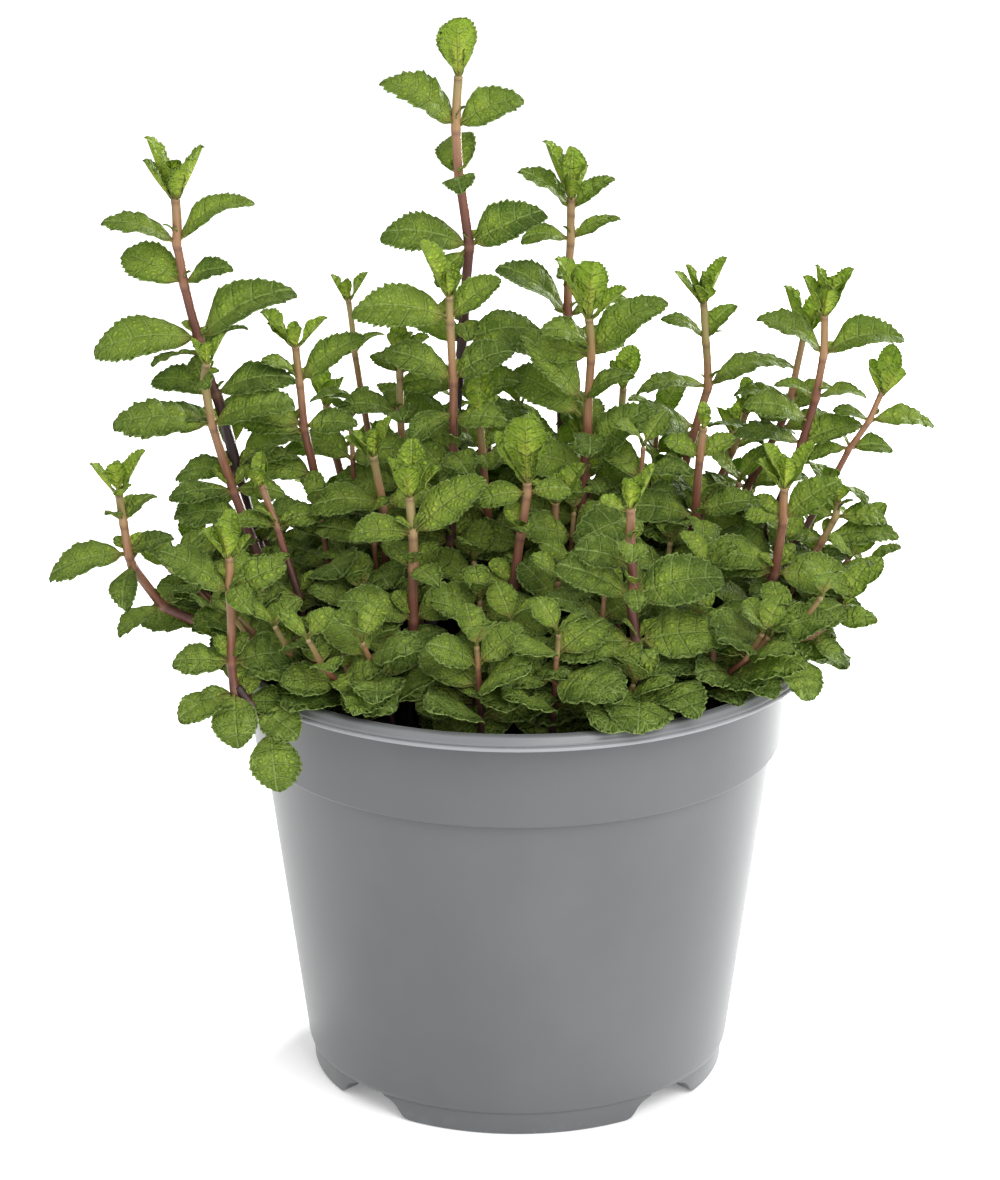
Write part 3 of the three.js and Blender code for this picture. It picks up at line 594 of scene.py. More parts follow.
class Leaf:
    """One leaf: where it stands, how large and how old it is, and its own small irregularities."""

    def __init__(self, node, azimuth, length, rise, age, draw, low=False):
        self.size = leaf_size(length, low)
        self.node, self.azimuth, self.length, self.rise = np.array(node, float), azimuth, length, rise
        self.age = float(np.clip(age, 0, 1))
        upper = float(smooth_step(150, 190, self.node[2]))
        cup = float(smooth_step(0.45, 0.15, self.age))
        near_rim = float(smooth_step(165, 148, self.node[2]))
        self.tilt = LIGHT_TILT + upper * (1 - cup) * draw.uniform(2, 22)
        self.ratio = draw.uniform(0.5, 0.62) + 0.1 * (1 - upper) + 0.12 * near_rim - 0.06 * cup
        self.teeth = 0.85 + 0.4 * upper
        self.widest = draw.uniform(0.92, 1.06) + 0.18 * cup
        self.base = 0.6 + 0.28 * cup
        self.tip = draw.uniform(0.48, 0.72)
        self.fold = draw.uniform(0.08, 0.24) + upper * draw.uniform(0.0, 0.2) + 0.42 * cup
        self.arch = upper * (1 - cup) * draw.uniform(0.0, 0.07) - 0.1 * cup
        self.roll = draw.uniform(0.12, 0.3)
        self.droop = (draw.uniform(0.0, 0.05) + upper * draw.uniform(0.0, 0.12)) * (1 - cup)
        self.twist = draw.uniform(-0.22, 0.22)
        self.bend = draw.uniform(-0.06, 0.06)
        self.frill = draw.uniform(0.1, 0.34)
        self.quilt = draw.uniform(0.8, 1.25) * (1 - 0.5 * cup)
        self.ripple = draw.uniform(0, 2 * math.pi)
        self.seed = draw.uniform(0, 50)
        self.tint = draw.uniform(0, 1)
        self.bites = draw.uniform(0.5, 1.4, 24)

    def sheet(self, looks):
        """Local places of the upper face's grid, with how thick the leaf is at each."""
        kind = LEAF_KINDS[self.size]
        length = self.length
        stalk_end = (1.6 + 0.03 * length) / length
        stalk_half = 0.42 + 0.008 * length
        wide = length * self.ratio / 2
        base = kind.along
        edge_at = base + 0.11 * np.sin(math.pi * base)
        half = wide * (np.sin(math.pi * edge_at ** self.widest).clip(0)
                       ** (self.base + (self.tip - self.base) * edge_at))
        half = np.maximum(half, stalk_half * (1 - base) ** 2 + 0.1)
        tooth = kind.bite * self.bites[kind.tooth_of_row] * looks.tooth_depth * self.teeth * wide
        tooth = tooth * np.sin(math.pi * np.clip(base * 0.96 + 0.02, 0, 1)) ** 0.4
        share = np.abs(kind.across)[None, :]
        near_edge = np.where(share > 0.99, 1.0, np.where(share > 0.72, 0.3, 0.0))
        stretch = (1 - stalk_end) * length
        x = (stalk_end * length + stretch * (base[:, None] + (edge_at - base)[:, None] * share ** 1.3)
             + 0.9 * tooth[:, None] * near_edge)
        y = np.sign(kind.across)[None, :] * (half[:, None] * share + tooth[:, None] * near_edge)
        stalk_x = np.repeat((kind.stalk * stalk_end * length)[:, None], kind.across.size, 1)
        stalk_y = np.repeat((kind.across * stalk_half)[None, :], kind.stalk.size, 0)
        x = np.concatenate([stalk_x, x])
        y = np.concatenate([stalk_y, y])
        blade = np.concatenate([np.zeros(kind.stalk.size), base])[:, None]
        u = np.clip(x / length, 0, 1)
        first = WAVE_START[self.size]
        wave = np.where(u > first, np.sin(9 * (u - first)), 0) * y / wide
        open_up = smooth_step(0, 0.25, blade)
        vein = kind.veins * blade
        mid = np.clip(share * 3.2, 0, 1) * (1 - 0.75 * share ** 3)
        swell = (np.abs(np.sin(math.pi * vein)) ** 0.75 - 0.4) * mid
        swell = swell + 0.35 * np.sin(2 * math.pi * vein) * np.sin(3 * math.pi * share) * mid
        swell = swell * looks.quilt_height / MM * self.quilt * open_up * min(1.0, length / 20)
        frill = np.sin(2 * math.pi * vein + self.ripple) + 0.7 * np.sin(7.3 * blade + 3 * self.ripple)
        frill = self.frill * frill * share ** 2 * open_up * length / 20
        z = ((ARCH + self.arch) * 4 * u * (1 - u) * length + WAVE * length * wave
             + self.fold * np.abs(y) * open_up - self.roll * share ** 3 * half.max() * 0.55 * open_up
             + swell + frill - self.droop * length * u ** 3)
        y_turned = y * np.cos(self.twist * u) - z * np.sin(self.twist * u)
        z = y * np.sin(self.twist * u) + z * np.cos(self.twist * u)
        y = y_turned + self.bend * length * u ** 2
        blade_thick = looks.leaf_thickness / MM / 2 * (1 - 0.35 * share ** 2)
        thick = blade_thick + (stalk_half * 0.8 - blade_thick) * (1 - smooth_step(0, 0.12, blade))
        keel = np.where(share < 0.01, 0.28 * (1 - blade) * min(1.0, length / 20), 0.0)
        return kind, x, y, z, thick, keel, vein + 0 * x, share + 0 * x, blade + 0 * x

    def places(self, looks):
        """World places of the upper face's grid, for finding what it would touch."""
        _, x, y, z, *_ = self.sheet(looks)
        along, across, normal = leaf_axes(self.node, self.azimuth, self.rise, self.tilt)
        places = self.node + x[..., None] * along + y[..., None] * across + z[..., None] * normal
        return places.reshape(-1, 3)

    def add_to(self, shell, looks):
        kind, x, y, z, thick, keel, vein, share, blade = self.sheet(looks)
        along, across, normal = leaf_axes(self.node, self.azimuth, self.rise, self.tilt)
        middle = self.node + x[..., None] * along + y[..., None] * across
        upper = middle + (z + thick)[..., None] * normal
        under = middle + (z - thick - keel)[..., None] * normal
        points = np.concatenate([upper.reshape(-1, 3), under.reshape(-1, 3)])
        side = np.repeat([0.0, 1.0], x.size)
        x, y, vein, share, blade = (np.tile(values.ravel(), 2) for values in (x, y, vein, share, blade))
        shell.add(points, kind.faces, LEAF_SLOT, rib=triples(vein, share, side),
                  sheet=triples(x, y, self.seed), tone=triples(self.age, self.tint, blade))


# Stems

def stem_route(root, joints):
    """The stem's corner points: straight through its hole, then from node to node."""
    start = np.array([root[0], root[1], SOIL_TOP])
    lean = joints[0] - start
    lean = lean / np.linalg.norm(lean)
    return [start - lean * ROOT_DEPTH, *joints]


def add_stem(shell, route, girth, draw, sides=10):
    """A square stem with rounded corners that tapers upwards and swells a little at each node."""
    places, travelled, at_node, below = [], [], [], []
    distance = 0.0
    for k in range(len(route) - 1):
        low, high = route[k], route[k + 1]
        length = np.linalg.norm(high - low)
        bow = np.cross(high - low, draw.normal(size=3))
        bow = bow / (np.linalg.norm(bow) + 1e-9) * min(0.5, length * 0.012)
        shares = [0, 0.7 / length, 1.6 / length, 0.25, 0.5, 0.75]
        shares += [1 - from_joint / length for from_joint in (2.6, 1.6, 0.7)]
        shares = sorted({round(min(max(s, 0), 1), 4) for s in shares})
        for share in shares:
            places.append(low + (high - low) * share + bow * math.sin(math.pi * share))
            travelled.append(distance + length * share)
            near_low = share * length if k else 99.0
            at_node.append(min(near_low, (1 - share) * length))
            below.append((1 - share) * length)
        distance += length
    places.append(route[-1])
    travelled.append(distance)
    at_node.append(0.6)
    below.append(9.0)
    places, travelled, at_node, below = (np.array(kept) for kept in (places, travelled, at_node, below))
    joint = np.exp(-((at_node / 0.9) ** 2))
    ring = np.maximum(np.exp(-(((below - 1.6) / 0.8) ** 2)), 0.62 * np.exp(-below / 5))
    swell = 1 + 0.13 * np.exp(-((at_node / 1.9) ** 2))
    size = girth / 2 * (1 + (TIP_GIRTH - 1) * travelled / distance) * swell
    size[-1] *= 0.5
    angles = turns(sides) + draw.uniform(0, 1)
    corner = (np.abs(np.cos(angles)) ** 4 + np.abs(np.sin(angles)) ** 4) ** -0.25
    heading = places[1] - places[0]
    side_way = np.cross(heading, [0.3, 1.0, 0.1])
    points = []
    for k, place in enumerate(places):
        ahead = places[min(k + 1, len(places) - 1)] - places[max(k - 1, 0)]
        ahead = ahead / np.linalg.norm(ahead)
        side_way = side_way - ahead * (side_way @ ahead)
        side_way = side_way / np.linalg.norm(side_way)
        third = np.cross(ahead, side_way)
        circle = np.cos(angles)[:, None] * side_way + np.sin(angles)[:, None] * third
        points.append(place + circle * (corner * size[k])[:, None])
    points = np.concatenate(points)
    rings = len(places)
    faces = [ring_faces(rings, sides),
             [np.arange(sides)[::-1]],
             [np.arange(sides) + (rings - 1) * sides]]
    above = distance - ROOT_DEPTH
    ripe = np.clip((distance - travelled) / min(OLD_LENGTH, above), 0, 1)
    rib = triples(*(np.repeat(values, sides) for values in (ripe, ring, joint)))
    sheet = triples(np.repeat(travelled, sides), np.tile(angles, rings) * girth / 2, draw.uniform(0, 50))
    tone = triples(0.5, draw.uniform(0, 1), np.ones(len(points)))
    shell.add(points, faces, STEM_SLOT, rib=rib, sheet=sheet, tone=tone)


# Where leaves go

class Crowd:
    """Remembers the room that leaves and stems take up, in small cells."""

    CELL = 1.7

    def __init__(self):
        # The first cell's corner, and how many cells there are along x, y and z
        self.low = np.array([-160.0, -110.0, 100.0])
        self.room = np.zeros((190, 130, 150), bool)

    def cells(self, points):
        index = np.floor((points - self.low) / self.CELL).astype(int)
        return np.clip(index, 0, np.array(self.room.shape) - 1)

    def take(self, points):
        i, j, k = self.cells(points).T
        self.room[i, j, k] = True

    def share_taken(self, points, node, clear=5.0):
        away = points[np.linalg.norm(points - node, axis=1) > clear]
        if not len(away):
            return 0.0
        i, j, k = self.cells(away).T
        return float(self.room[i, j, k].mean())


def in_pot_wall(points):
    """True if any point would be in the compost, in the pot's wall or through its rim."""
    radius = np.hypot(points[:, 0], points[:, 1])
    height = points[:, 2]
    low = (height < SOIL_TOP + 1.2) & (radius < RIM_RADIUS)
    wall = (height < RIM_TOP + 0.8) & (radius > BAND_RADIUS_TOP - 3) & (radius < RIM_RADIUS + 1.2)
    outside = (np.abs(points[:, 1]) > REACH_Y) | (np.abs(points[:, 0]) > REACH_X)
    return bool((low | wall | outside).any())


def node_tree(name):
    """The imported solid's own points, in millimetres about the pot's axis, for finding its leaf tips."""
    places = places_of(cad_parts[name].data)
    tree = kdtree.KDTree(len(places))
    for k, place in enumerate(places):
        tree.insert(place, k)
    tree.balance()
    return tree


def packed_place(tree, node, azimuth, length, rise):
    """Which turn the solid's leaf took, found by its tip, or None if it was left out."""
    for turn, lift, share in TURNS:
        place = (azimuth + turn, length * share, min(MOST_RISE, rise + lift))
        along, _, normal = leaf_axes(node, place[0], place[2])
        tip = np.array(node) + along * place[1]
        ends = [tip + normal * BLADE / 2, tip - normal * BLADE / 2]
        if all(tree.find(Vector(end))[2] < FOUND_WITHIN for end in ends):
            return place
    return None


def pairs_of(nodes, tip):
    """Every leaf of a stem as (node, azimuth, length, rise, age, in the solid)."""
    asked = []
    real = [node for node in nodes if len(node) > 3]
    for k, (x, y, z, azimuth, length, rise, across_length, across_rise) in enumerate(real):
        age = 1 - 0.34 * math.exp(-(len(real) - 1 - k) * 0.8)
        asked.append(((x, y, z), azimuth, length, rise, age, length >= LEAST_LEAF))
        asked.append(((x, y, z), azimuth + 180, across_length, across_rise, age,
                      across_length >= LEAST_LEAF))
    x, y, z, azimuth, length, rise = tip
    node = (x, y, z - TIP_LEAF_DROP)
    asked.append((node, azimuth, length, rise, TIP_AGE, True))
    third = length >= LEAST_THREE_LEAF_TIP
    for (turn, share, lift, age), solid in ((TIP_SECOND, True), (TIP_THIRD, third), (TIP_FOURTH, False)):
        asked.append((node, azimuth + turn, length * share, rise + lift, age, solid))
    return [leaf for leaf in asked if leaf[2] > 4]


def place_leaf(shell, crowd, looks, place, age, draw, most, low=False):
    """Adds a leaf at its first turn that is clear enough of the rest, or no leaf if there is none."""
    node, azimuth, length, rise = place
    node = np.array(node, float)
    for turn, lift, share in TURNS:
        leaf = Leaf(node, azimuth + turn, length * share, min(MOST_RISE, rise + lift), age, draw, low)
        points = leaf.places(looks)
        if in_pot_wall(points[points.shape[0] // 4:]):
            continue
        if crowd.share_taken(points, node) <= most:
            leaf.add_to(shell, looks)
            crowd.take(points)
            return


def add_listed(shells, crowd, looks, leaves, age, most, draw):
    """Adds the leaves of a table, where there is room."""
    for name, x, y, z, *rest in leaves:
        place_leaf(shells[name], crowd, looks, ((x, y, z), *rest), age, draw, most)


def add_axil_leaves(shell, crowd, looks, nodes, tip, draw):
    """Small new leaves where grown leaves meet the stem, and the tight bud at the tip."""
    for x, y, z, azimuth, *_ in [node for node in nodes if len(node) > 3]:
        for side in (0, 180):
            if draw.uniform() < 0.25:
                continue
            size = draw.uniform(6, 11) if z < 205 else draw.uniform(4.5, 7.5)
            turn = azimuth + side + draw.uniform(14, 32) * draw.choice([-1, 1])
            place = ((x, y, z + 0.8), turn, size, draw.uniform(38, 62))
            place_leaf(shell, crowd, looks, place, draw.uniform(0.3, 0.6), draw, OVERLAP["axil"])
    x, y, z, azimuth, length, _ = tip
    for side, size, up in ((45, 0.34, 78), (225, 0.3, 82), (135, 0.26, 80), (315, 0.24, 83)):
        leaf = Leaf((x, y, z - 0.6), azimuth + side, max(4.0, length * size), up, 0.0, draw)
        leaf.add_to(shell, looks)


def shoot(shell, crowd, looks, joints, sizes, most, draw):
    """A short leafy shoot through its joints, whose leaves grow smaller towards the tip."""
    add_stem(shell, joints, LOW_GIRTH, draw, 8)
    azimuth = draw.uniform(0, 360)
    for step, joint in enumerate(joints[1:]):
        if joint[2] < HIDDEN_BELOW and np.hypot(joint[0], joint[1]) < HIDDEN_WITHIN:
            continue
        from_tip = len(joints) - 2 - step
        size = sizes[min(from_tip, len(sizes) - 1)] * draw.uniform(0.88, 1.12)
        rise, age = ((46, 0.6), (22, 0.85), (8, 1.0), (0, 1.0))[min(from_tip, 3)]
        for side in (0, 180):
            place = (joint, azimuth + side, size, rise + draw.uniform(-6, 8))
            place_leaf(shell, crowd, looks, place, age, draw, most, low=True)
        azimuth += 90


def add_low_shoots(shells, crowd, looks, draw):
    """Leafy shoots all over the compost, which fill the crowd under the tall stems."""
    golden = math.pi * (3 - math.sqrt(5))
    for k in range(looks.undergrowth):
        radius = CROWD_RADIUS * math.sqrt((k + 0.5) / looks.undergrowth) + draw.uniform(-3, 3)
        angle = k * golden + draw.uniform(-0.15, 0.15)
        way = level_way(angle)
        root = min(radius, OUTER_ROOT) * way + upwards(SOIL_TOP)
        at_edge = float(smooth_step(48, 74, radius))
        tall = draw.uniform(46, 82) if root[1] > -15 else draw.uniform(26, 54)
        height = tall * (1 - at_edge) + draw.uniform(22, 44) * at_edge
        out = way * (4 + at_edge * (24 * abs(way[0]) + 6)) * np.array([1, 0.6, 1])
        shares = (0.3, 0.5, 0.68, 0.85, 1.0) if height > 56 else (0.34, 0.6, 0.82, 1.0)
        joints = [root + upwards(height * share) + out * share ** 1.2 for share in shares]
        joints = [root - upwards(6.0), *joints]
        quarter = int(angle / (math.pi / 2)) % 4
        shoot(shells[quarter], crowd, looks, joints, LOW_SIZES, OVERLAP["low shoot"], draw)


def add_side_shoots(shells, crowd, looks, draw):
    """Shoots that lean out over the rim, most of them at the left and right."""
    for degrees in SIDE_SHOOTS:
        angle = math.radians(degrees + draw.uniform(-3, 3))
        way = level_way(angle)
        reach = draw.uniform(22, 36) * (0.35 + 0.65 * abs(way[0]))
        low = draw.uniform(0, 9)
        steps = ((0, -6), (6, 19), (0.36 * reach + 2, 20 + 0.3 * low), (0.7 * reach + 1, 23 + low),
                 (reach, 29 + 1.7 * low))
        joints = [way * (SIDE_ROOT + out) + upwards(SOIL_TOP + up) for out, up in steps]
        quarter = int((angle % (2 * math.pi)) / (math.pi / 2))
        shoot(shells[quarter], crowd, looks, joints, SIDE_SIZES, OVERLAP["side shoot"], draw)


# Turned and cut pieces

def rounded(profile, steps=4):
    """A profile of (radius, height, rounding) with each corner cut by a small smooth arc."""
    corners = [np.array(corner[:2], float) for corner in profile]
    line = []
    for k, corner in enumerate(corners):
        size = profile[k][2]
        if size <= 0 or k in (0, len(corners) - 1):
            line.append(corner)
            continue
        before, after = corners[k - 1] - corner, corners[k + 1] - corner
        low, high = np.linalg.norm(before), np.linalg.norm(after)
        first = corner + before / low * min(size, low * 0.45)
        last = corner + after / high * min(size, high * 0.45)
        for t in np.linspace(0, 1, steps + 1):
            line.append((1 - t) ** 2 * first + 2 * t * (1 - t) * corner + t ** 2 * last)
    return line


def lathe(name, line, sides, closed=False):
    """A closed body turned about the pot's axis from (radius, height) pairs in millimetres."""
    angles = turns(sides)
    rings = [p for p in line if p[0] > 1e-6]
    points = [triples(r * np.cos(angles), r * np.sin(angles), z) for r, z in rings]
    faces = [ring_faces(len(rings), sides)]
    side = np.arange(sides)
    after = (side + 1) % sides
    last = (len(rings) - 1) * sides
    if closed:
        faces.append(np.stack([last + side, last + after, after, side], -1))
    else:
        bottom = len(rings) * sides
        points.append(np.array([[0, 0, line[0][1]], [0, 0, line[-1][1]]]))
        faces += [triples(bottom, after, side), triples(last + side, last + after, bottom + 1)]
    shell = Shell()
    shell.add(np.concatenate(points), faces)
    return shell.build(name, [])


def inner_radius(z):
    slope = (BODY_RADIUS_TOP - BODY_RADIUS_FOOT) / (BAND_FOOT - BODY_FOOT)
    return BODY_RADIUS_FOOT + slope * (z - BODY_FOOT) - WALL


def pot_profile():
    floor_top = BODY_FOOT + FLOOR
    lip_foot = RIM_TOP - LIP_HEIGHT
    return rounded([
        (0, BODY_FOOT, 0),
        (BODY_RADIUS_FOOT - 0.1, BODY_FOOT, 2.8),
        (BODY_RADIUS_TOP, BAND_FOOT - 0.5, 0.3),
        (BAND_RADIUS_FOOT, BAND_FOOT, 0.7),
        (BAND_RADIUS_TOP, lip_foot - 1.6, 1.6),
        (RIM_RADIUS - 1.0, lip_foot - 0.2, 0.4),
        (RIM_RADIUS, lip_foot + 0.2, 0.45),
        (RIM_RADIUS, lip_foot + 1.0, 0.45),
        (RIM_RADIUS - 0.8, lip_foot + 1.45, 0.3),
        (RIM_RADIUS - 0.15, lip_foot + 2.0, 0.3),
        (RIM_RADIUS - 0.3, lip_foot + 2.6, 0.3),
        (RIM_RADIUS - 0.8, lip_foot + 3.2, 0.4),
        (RIM_RADIUS - 1.4, RIM_TOP, 1.3),
        (RIM_RADIUS - 4.4, RIM_TOP, 1.2),
        (BAND_RADIUS_TOP - WALL, lip_foot - 0.4, 1.5),
        (BAND_RADIUS_FOOT - WALL, BAND_FOOT + 1.2, 0.6),
        (inner_radius(BAND_FOOT - 2), BAND_FOOT - 2, 0.6),
        (inner_radius(floor_top), floor_top, 3.0),
        (0, floor_top, 0),
    ])


def foot_profile():
    top = BODY_FOOT + 0.6
    return [(FOOT_OUTER - FOOT_WALL, 0.0), (FOOT_OUTER - 1.2, 0.0), (FOOT_OUTER - 0.4, 0.25),
            (FOOT_OUTER, 1.0), (FOOT_OUTER + 0.4, top), (FOOT_OUTER - FOOT_WALL, top)]


def drawn_out(name, near, far):
    """A closed body between two outlines with as many points, in millimetres."""
    count = len(near)
    faces = [list(range(count))[::-1], [k + count for k in range(count)]]
    for k in range(count):
        after = (k + 1) % count
        faces.append([k, after, after + count, k + count])
    mesh = bpy.data.meshes.new(name)
    mesh.from_pydata([Vector(p) * MM for p in (*near, *far)], [], faces)
    return mesh


def made_plain(piece):
    """Turns what a piece's modifiers make into its own plain mesh, and takes the modifiers off."""
    context = bpy.context
    context.view_layer.update()
    depsgraph = context.evaluated_depsgraph_get()
    mesh = bpy.data.meshes.new_from_object(piece.evaluated_get(depsgraph), depsgraph=depsgraph)
    piece.modifiers.clear()
    piece.data = mesh
    return piece


def made_by(piece, tree, **inputs):
    """Runs a Geometry Nodes tree on a piece, with its inputs by name, and keeps what it makes."""
    modifier = piece.modifiers.new(tree.name, "NODES")
    modifier.node_group = tree
    known = {item.name: item.identifier for item in tree.interface.items_tree if item.in_out == "INPUT"}
    for name, value in inputs.items():
        modifier[known[name.replace("_", " ")]] = value
    return made_plain(piece)


def new_geometry_group(name, inputs):
    """A Geometry Nodes tree that a modifier can run, with its inputs as for new_group."""
    tree, given, out = new_group(name, {"Geometry": (GEOMETRY, None), **inputs}, {"Geometry": GEOMETRY},
                                 "GeometryNodeTree")
    tree.is_modifier = True
    return tree, given, out


def finish_tree(tree, given, out, geometry):
    """Ends a tree: instances become plain faces and take their material."""
    real = add_node(tree, "GeometryNodeRealizeInstances", {"Geometry": geometry}).outputs[0]
    finished = add_node(tree, "GeometryNodeSetMaterial", {
        "Geometry": real, "Material": given["Material"]})
    feed(out["Geometry"], finished.outputs[0])


def round_axis_tree():
    """Repeats its geometry round the vertical axis."""
    known = bpy.data.node_groups.get("Round the axis")
    if known:
        return known
    tree, given, out = new_geometry_group("Round the axis", {
        "Count": (INTEGER, 4), "First Turn": (FLOAT, 0.0), "Material": (MATERIAL, None)})
    points = add_node(tree, "GeometryNodePoints", {"Count": given["Count"]})
    index = number(tree, "GeometryNodeInputIndex")
    turn = index * (2 * math.pi / Wire(given["Count"])) + given["First Turn"]
    rotation = add_node(tree, "ShaderNodeCombineXYZ", {"Z": turn}).outputs[0]
    copies = add_node(tree, "GeometryNodeInstanceOnPoints", {
        "Points": points.outputs[0], "Instance": given["Geometry"], "Rotation": rotation})
    finish_tree(tree, given, out, copies.outputs[0])
    return tree


def round_axis(name, mesh, count, first_turn, material):
    """A piece that stands count times round the pot's axis."""
    piece = made_by(new_object(name, mesh), round_axis_tree(), Count=count, First_Turn=first_turn,
                    Material=material)
    for vertex in piece.data.vertices:
        vertex.co += Vector(AXIS)
    return piece


def foot_gaps(settings, material):
    """What is cut out between the feet: wide at the floor, narrow and rounded at the top."""
    half_foot, half_top = FOOT_GAP_FOOT / 2, FOOT_GAP_TOP / 2
    side = [(half_foot + 4.5, -1.0), (half_foot + 2.4, 0.05), (half_foot + 1.2, 0.45),
            (half_foot + 0.1, 1.0), (half_foot - 0.8, 1.8), (half_foot - 1.7, 3.0), (half_foot - 2.7, 4.3),
            (half_top + 4.6, 5.3), (half_top + 2.9, 6.1), (half_top + 1.3, 6.6), (half_top + 0.3, 7.3),
            (half_top, BODY_FOOT + 1.5)]
    outline = side + [(-y, z) for y, z in reversed(side)]
    near, far = ([(x, y, z) for y, z in outline] for x in (FOOT_OUTER - 20, FOOT_OUTER + 10))
    gap = drawn_out("foot_gap", near, far)
    return round_axis("foot_gaps", gap, settings.feet, math.pi / settings.feet, material)


def drain_tool(settings, ring, count, material):
    """Round drills through the pot's floor, at a ring's radius."""
    outline = [(DRAIN_RADIUS * math.cos(a) + ring, DRAIN_RADIUS * math.sin(a)) for a in turns(DRAIN_SIDES)]
    low, high = ([(x, y, z) for x, y in outline] for z in (BODY_FOOT - 2, BODY_FOOT + FLOOR + 2))
    return round_axis("drains", drawn_out("drain", low, high), count, math.pi / settings.feet, material)


def cut(piece, tool, how):
    """Joins or cuts a piece by a tool, which is then removed."""
    modifier = piece.modifiers.new("cut", "BOOLEAN")
    modifier.object = tool
    modifier.operation = how
    modifier.solver = "EXACT"
    made_plain(piece)
    bpy.data.objects.remove(tool)


# Compost

def soil_bed(settings, material):
    """The compost: an uneven top and the shape of the pot below it."""
    floor = BODY_FOOT + FLOOR + 0.3
    edge = BAND_RADIUS_TOP - WALL - 1.2
    shares = [k / BED_RINGS for k in range(1, BED_RINGS)]
    top = [(edge * (1 - share), SOIL_TOP - 0.6 + 1.1 * share ** 2) for share in shares]
    line = [(0, floor), (inner_radius(floor) - 2.9, floor),
            (inner_radius(floor + 2.6) - 0.5, floor + 2.9),
            (inner_radius(BAND_FOOT - 2) - 0.5, BAND_FOOT - 2),
            (BAND_RADIUS_FOOT - WALL - 0.5, BAND_FOOT + 1.6), (edge, SOIL_TOP - 0.6), *top,
            (0, SOIL_TOP + 0.5)]
    bed = lathe("compost_bed", line, BED_SIDES)
    draw = np.random.default_rng(settings.seed)
    x, y, z = places_of(bed.data).T
    rough = np.zeros(len(x))
    for _ in range(BED_WAVES):
        length = draw.uniform(4, 26)
        way = draw.uniform(0, 2 * math.pi)
        along = (x * math.cos(way) + y * math.sin(way)) * 2 * math.pi / length
        rough += 0.022 * length ** 0.75 * np.sin(along + draw.uniform(0, 2 * math.pi))
    on_top = (z > SOIL_TOP - 1) & (np.hypot(x, y) < edge - 0.5)
    for vertex, lift in zip(bed.data.vertices, np.where(on_top, rough, 0) * MM):
        vertex.co.z += lift
    bed.data.update()
    bed.data.materials.append(material)
    return bed


def crumb_tree():
    """Crumbs of uneven size and shape on the upward faces of a bed."""
    tree, given, out = new_geometry_group("Crumbs", {
        "Density": (FLOAT, 30000.0), "Crumb Radius": (FLOAT, 0.0013), "Seed": (INTEGER, 1),
        "Material": (MATERIAL, None)})
    normal = add_node(tree, "GeometryNodeInputNormal").outputs[0]
    upward = add_node(tree, "FunctionNodeCompare", {0: parts_of(normal)[2], 1: 0.6},
                      operation="GREATER_THAN", data_type="FLOAT").outputs[0]
    points = add_node(tree, "GeometryNodeDistributePointsOnFaces", {
        "Mesh": given["Geometry"], "Selection": upward, "Density": given["Density"],
        "Seed": given["Seed"]})
    crumb = add_node(tree, "GeometryNodeMeshIcoSphere", {
        "Radius": given["Crumb Radius"], "Subdivisions": 2})
    size = number(tree, "FunctionNodeRandomValue", {2: 0.35, 3: 1.7, "Seed": given["Seed"]}, 1,
                  data_type="FLOAT")
    squash = add_node(tree, "ShaderNodeCombineXYZ", {0: size, 1: size, 2: size * 0.72})
    turn = add_node(tree, "FunctionNodeRandomValue", {
        0: (0, 0, 0), 1: (6.28, 6.28, 6.28), "Seed": given["Seed"]}, data_type="FLOAT_VECTOR")
    copies = add_node(tree, "GeometryNodeInstanceOnPoints", {
        "Points": points.outputs[0], "Instance": crumb.outputs[0], "Scale": squash.outputs[0],
        "Rotation": turn.outputs[0]}).outputs[0]
    real = add_node(tree, "GeometryNodeRealizeInstances", {"Geometry": copies}).outputs[0]
    lumps = add_node(tree, "ShaderNodeTexNoise", {"Scale": 900.0, "Detail": 2.0}).outputs["Color"]
    centred = vector_maths(tree, "SUBTRACT", {0: lumps, 1: (0.5, 0.5, 0.5)})
    offset = vector_maths(tree, "SCALE", {0: centred, 3: 0.0022})
    shaped = add_node(tree, "GeometryNodeSetPosition", {"Geometry": real, "Offset": offset})
    smooth = add_node(tree, "GeometryNodeSetShadeSmooth", {"Geometry": shaped.outputs[0]}).outputs[0]
    finish_tree(tree, given, out, smooth)
    return tree


def soil_crumbs(settings, bed, material):
    return made_by(new_object("compost_crumbs", bed.data.copy()), crumb_tree(),
                   Density=float(settings.crumbs), Crumb_Radius=settings.crumb_size, Seed=settings.seed,
                   Material=material)


# Studio

def make_backdrop(settings):
    """A wide pale floor under the pot's feet."""
    shell = Shell()
    sides, radius = 64, 9000
    angles = turns(sides)
    shell.add(triples(radius * np.cos(angles), radius * np.sin(angles), 0.0), [[np.arange(sides)]])
    shell.build("studio_floor", [backdrop_material(settings)])


def add_area_light(name, place, target, size, power):
    lamp = bpy.data.lights.new(name, "AREA")
    lamp.shape = "RECTANGLE"
    lamp.size, lamp.size_y = size
    lamp.energy = power
    light = new_object(name, lamp)
    light.location = Vector(place) + Vector(AXIS)
    aim = Vector(target) + Vector(AXIS) - light.location
    light.rotation_euler = aim.to_track_quat("-Z", "Y").to_euler()


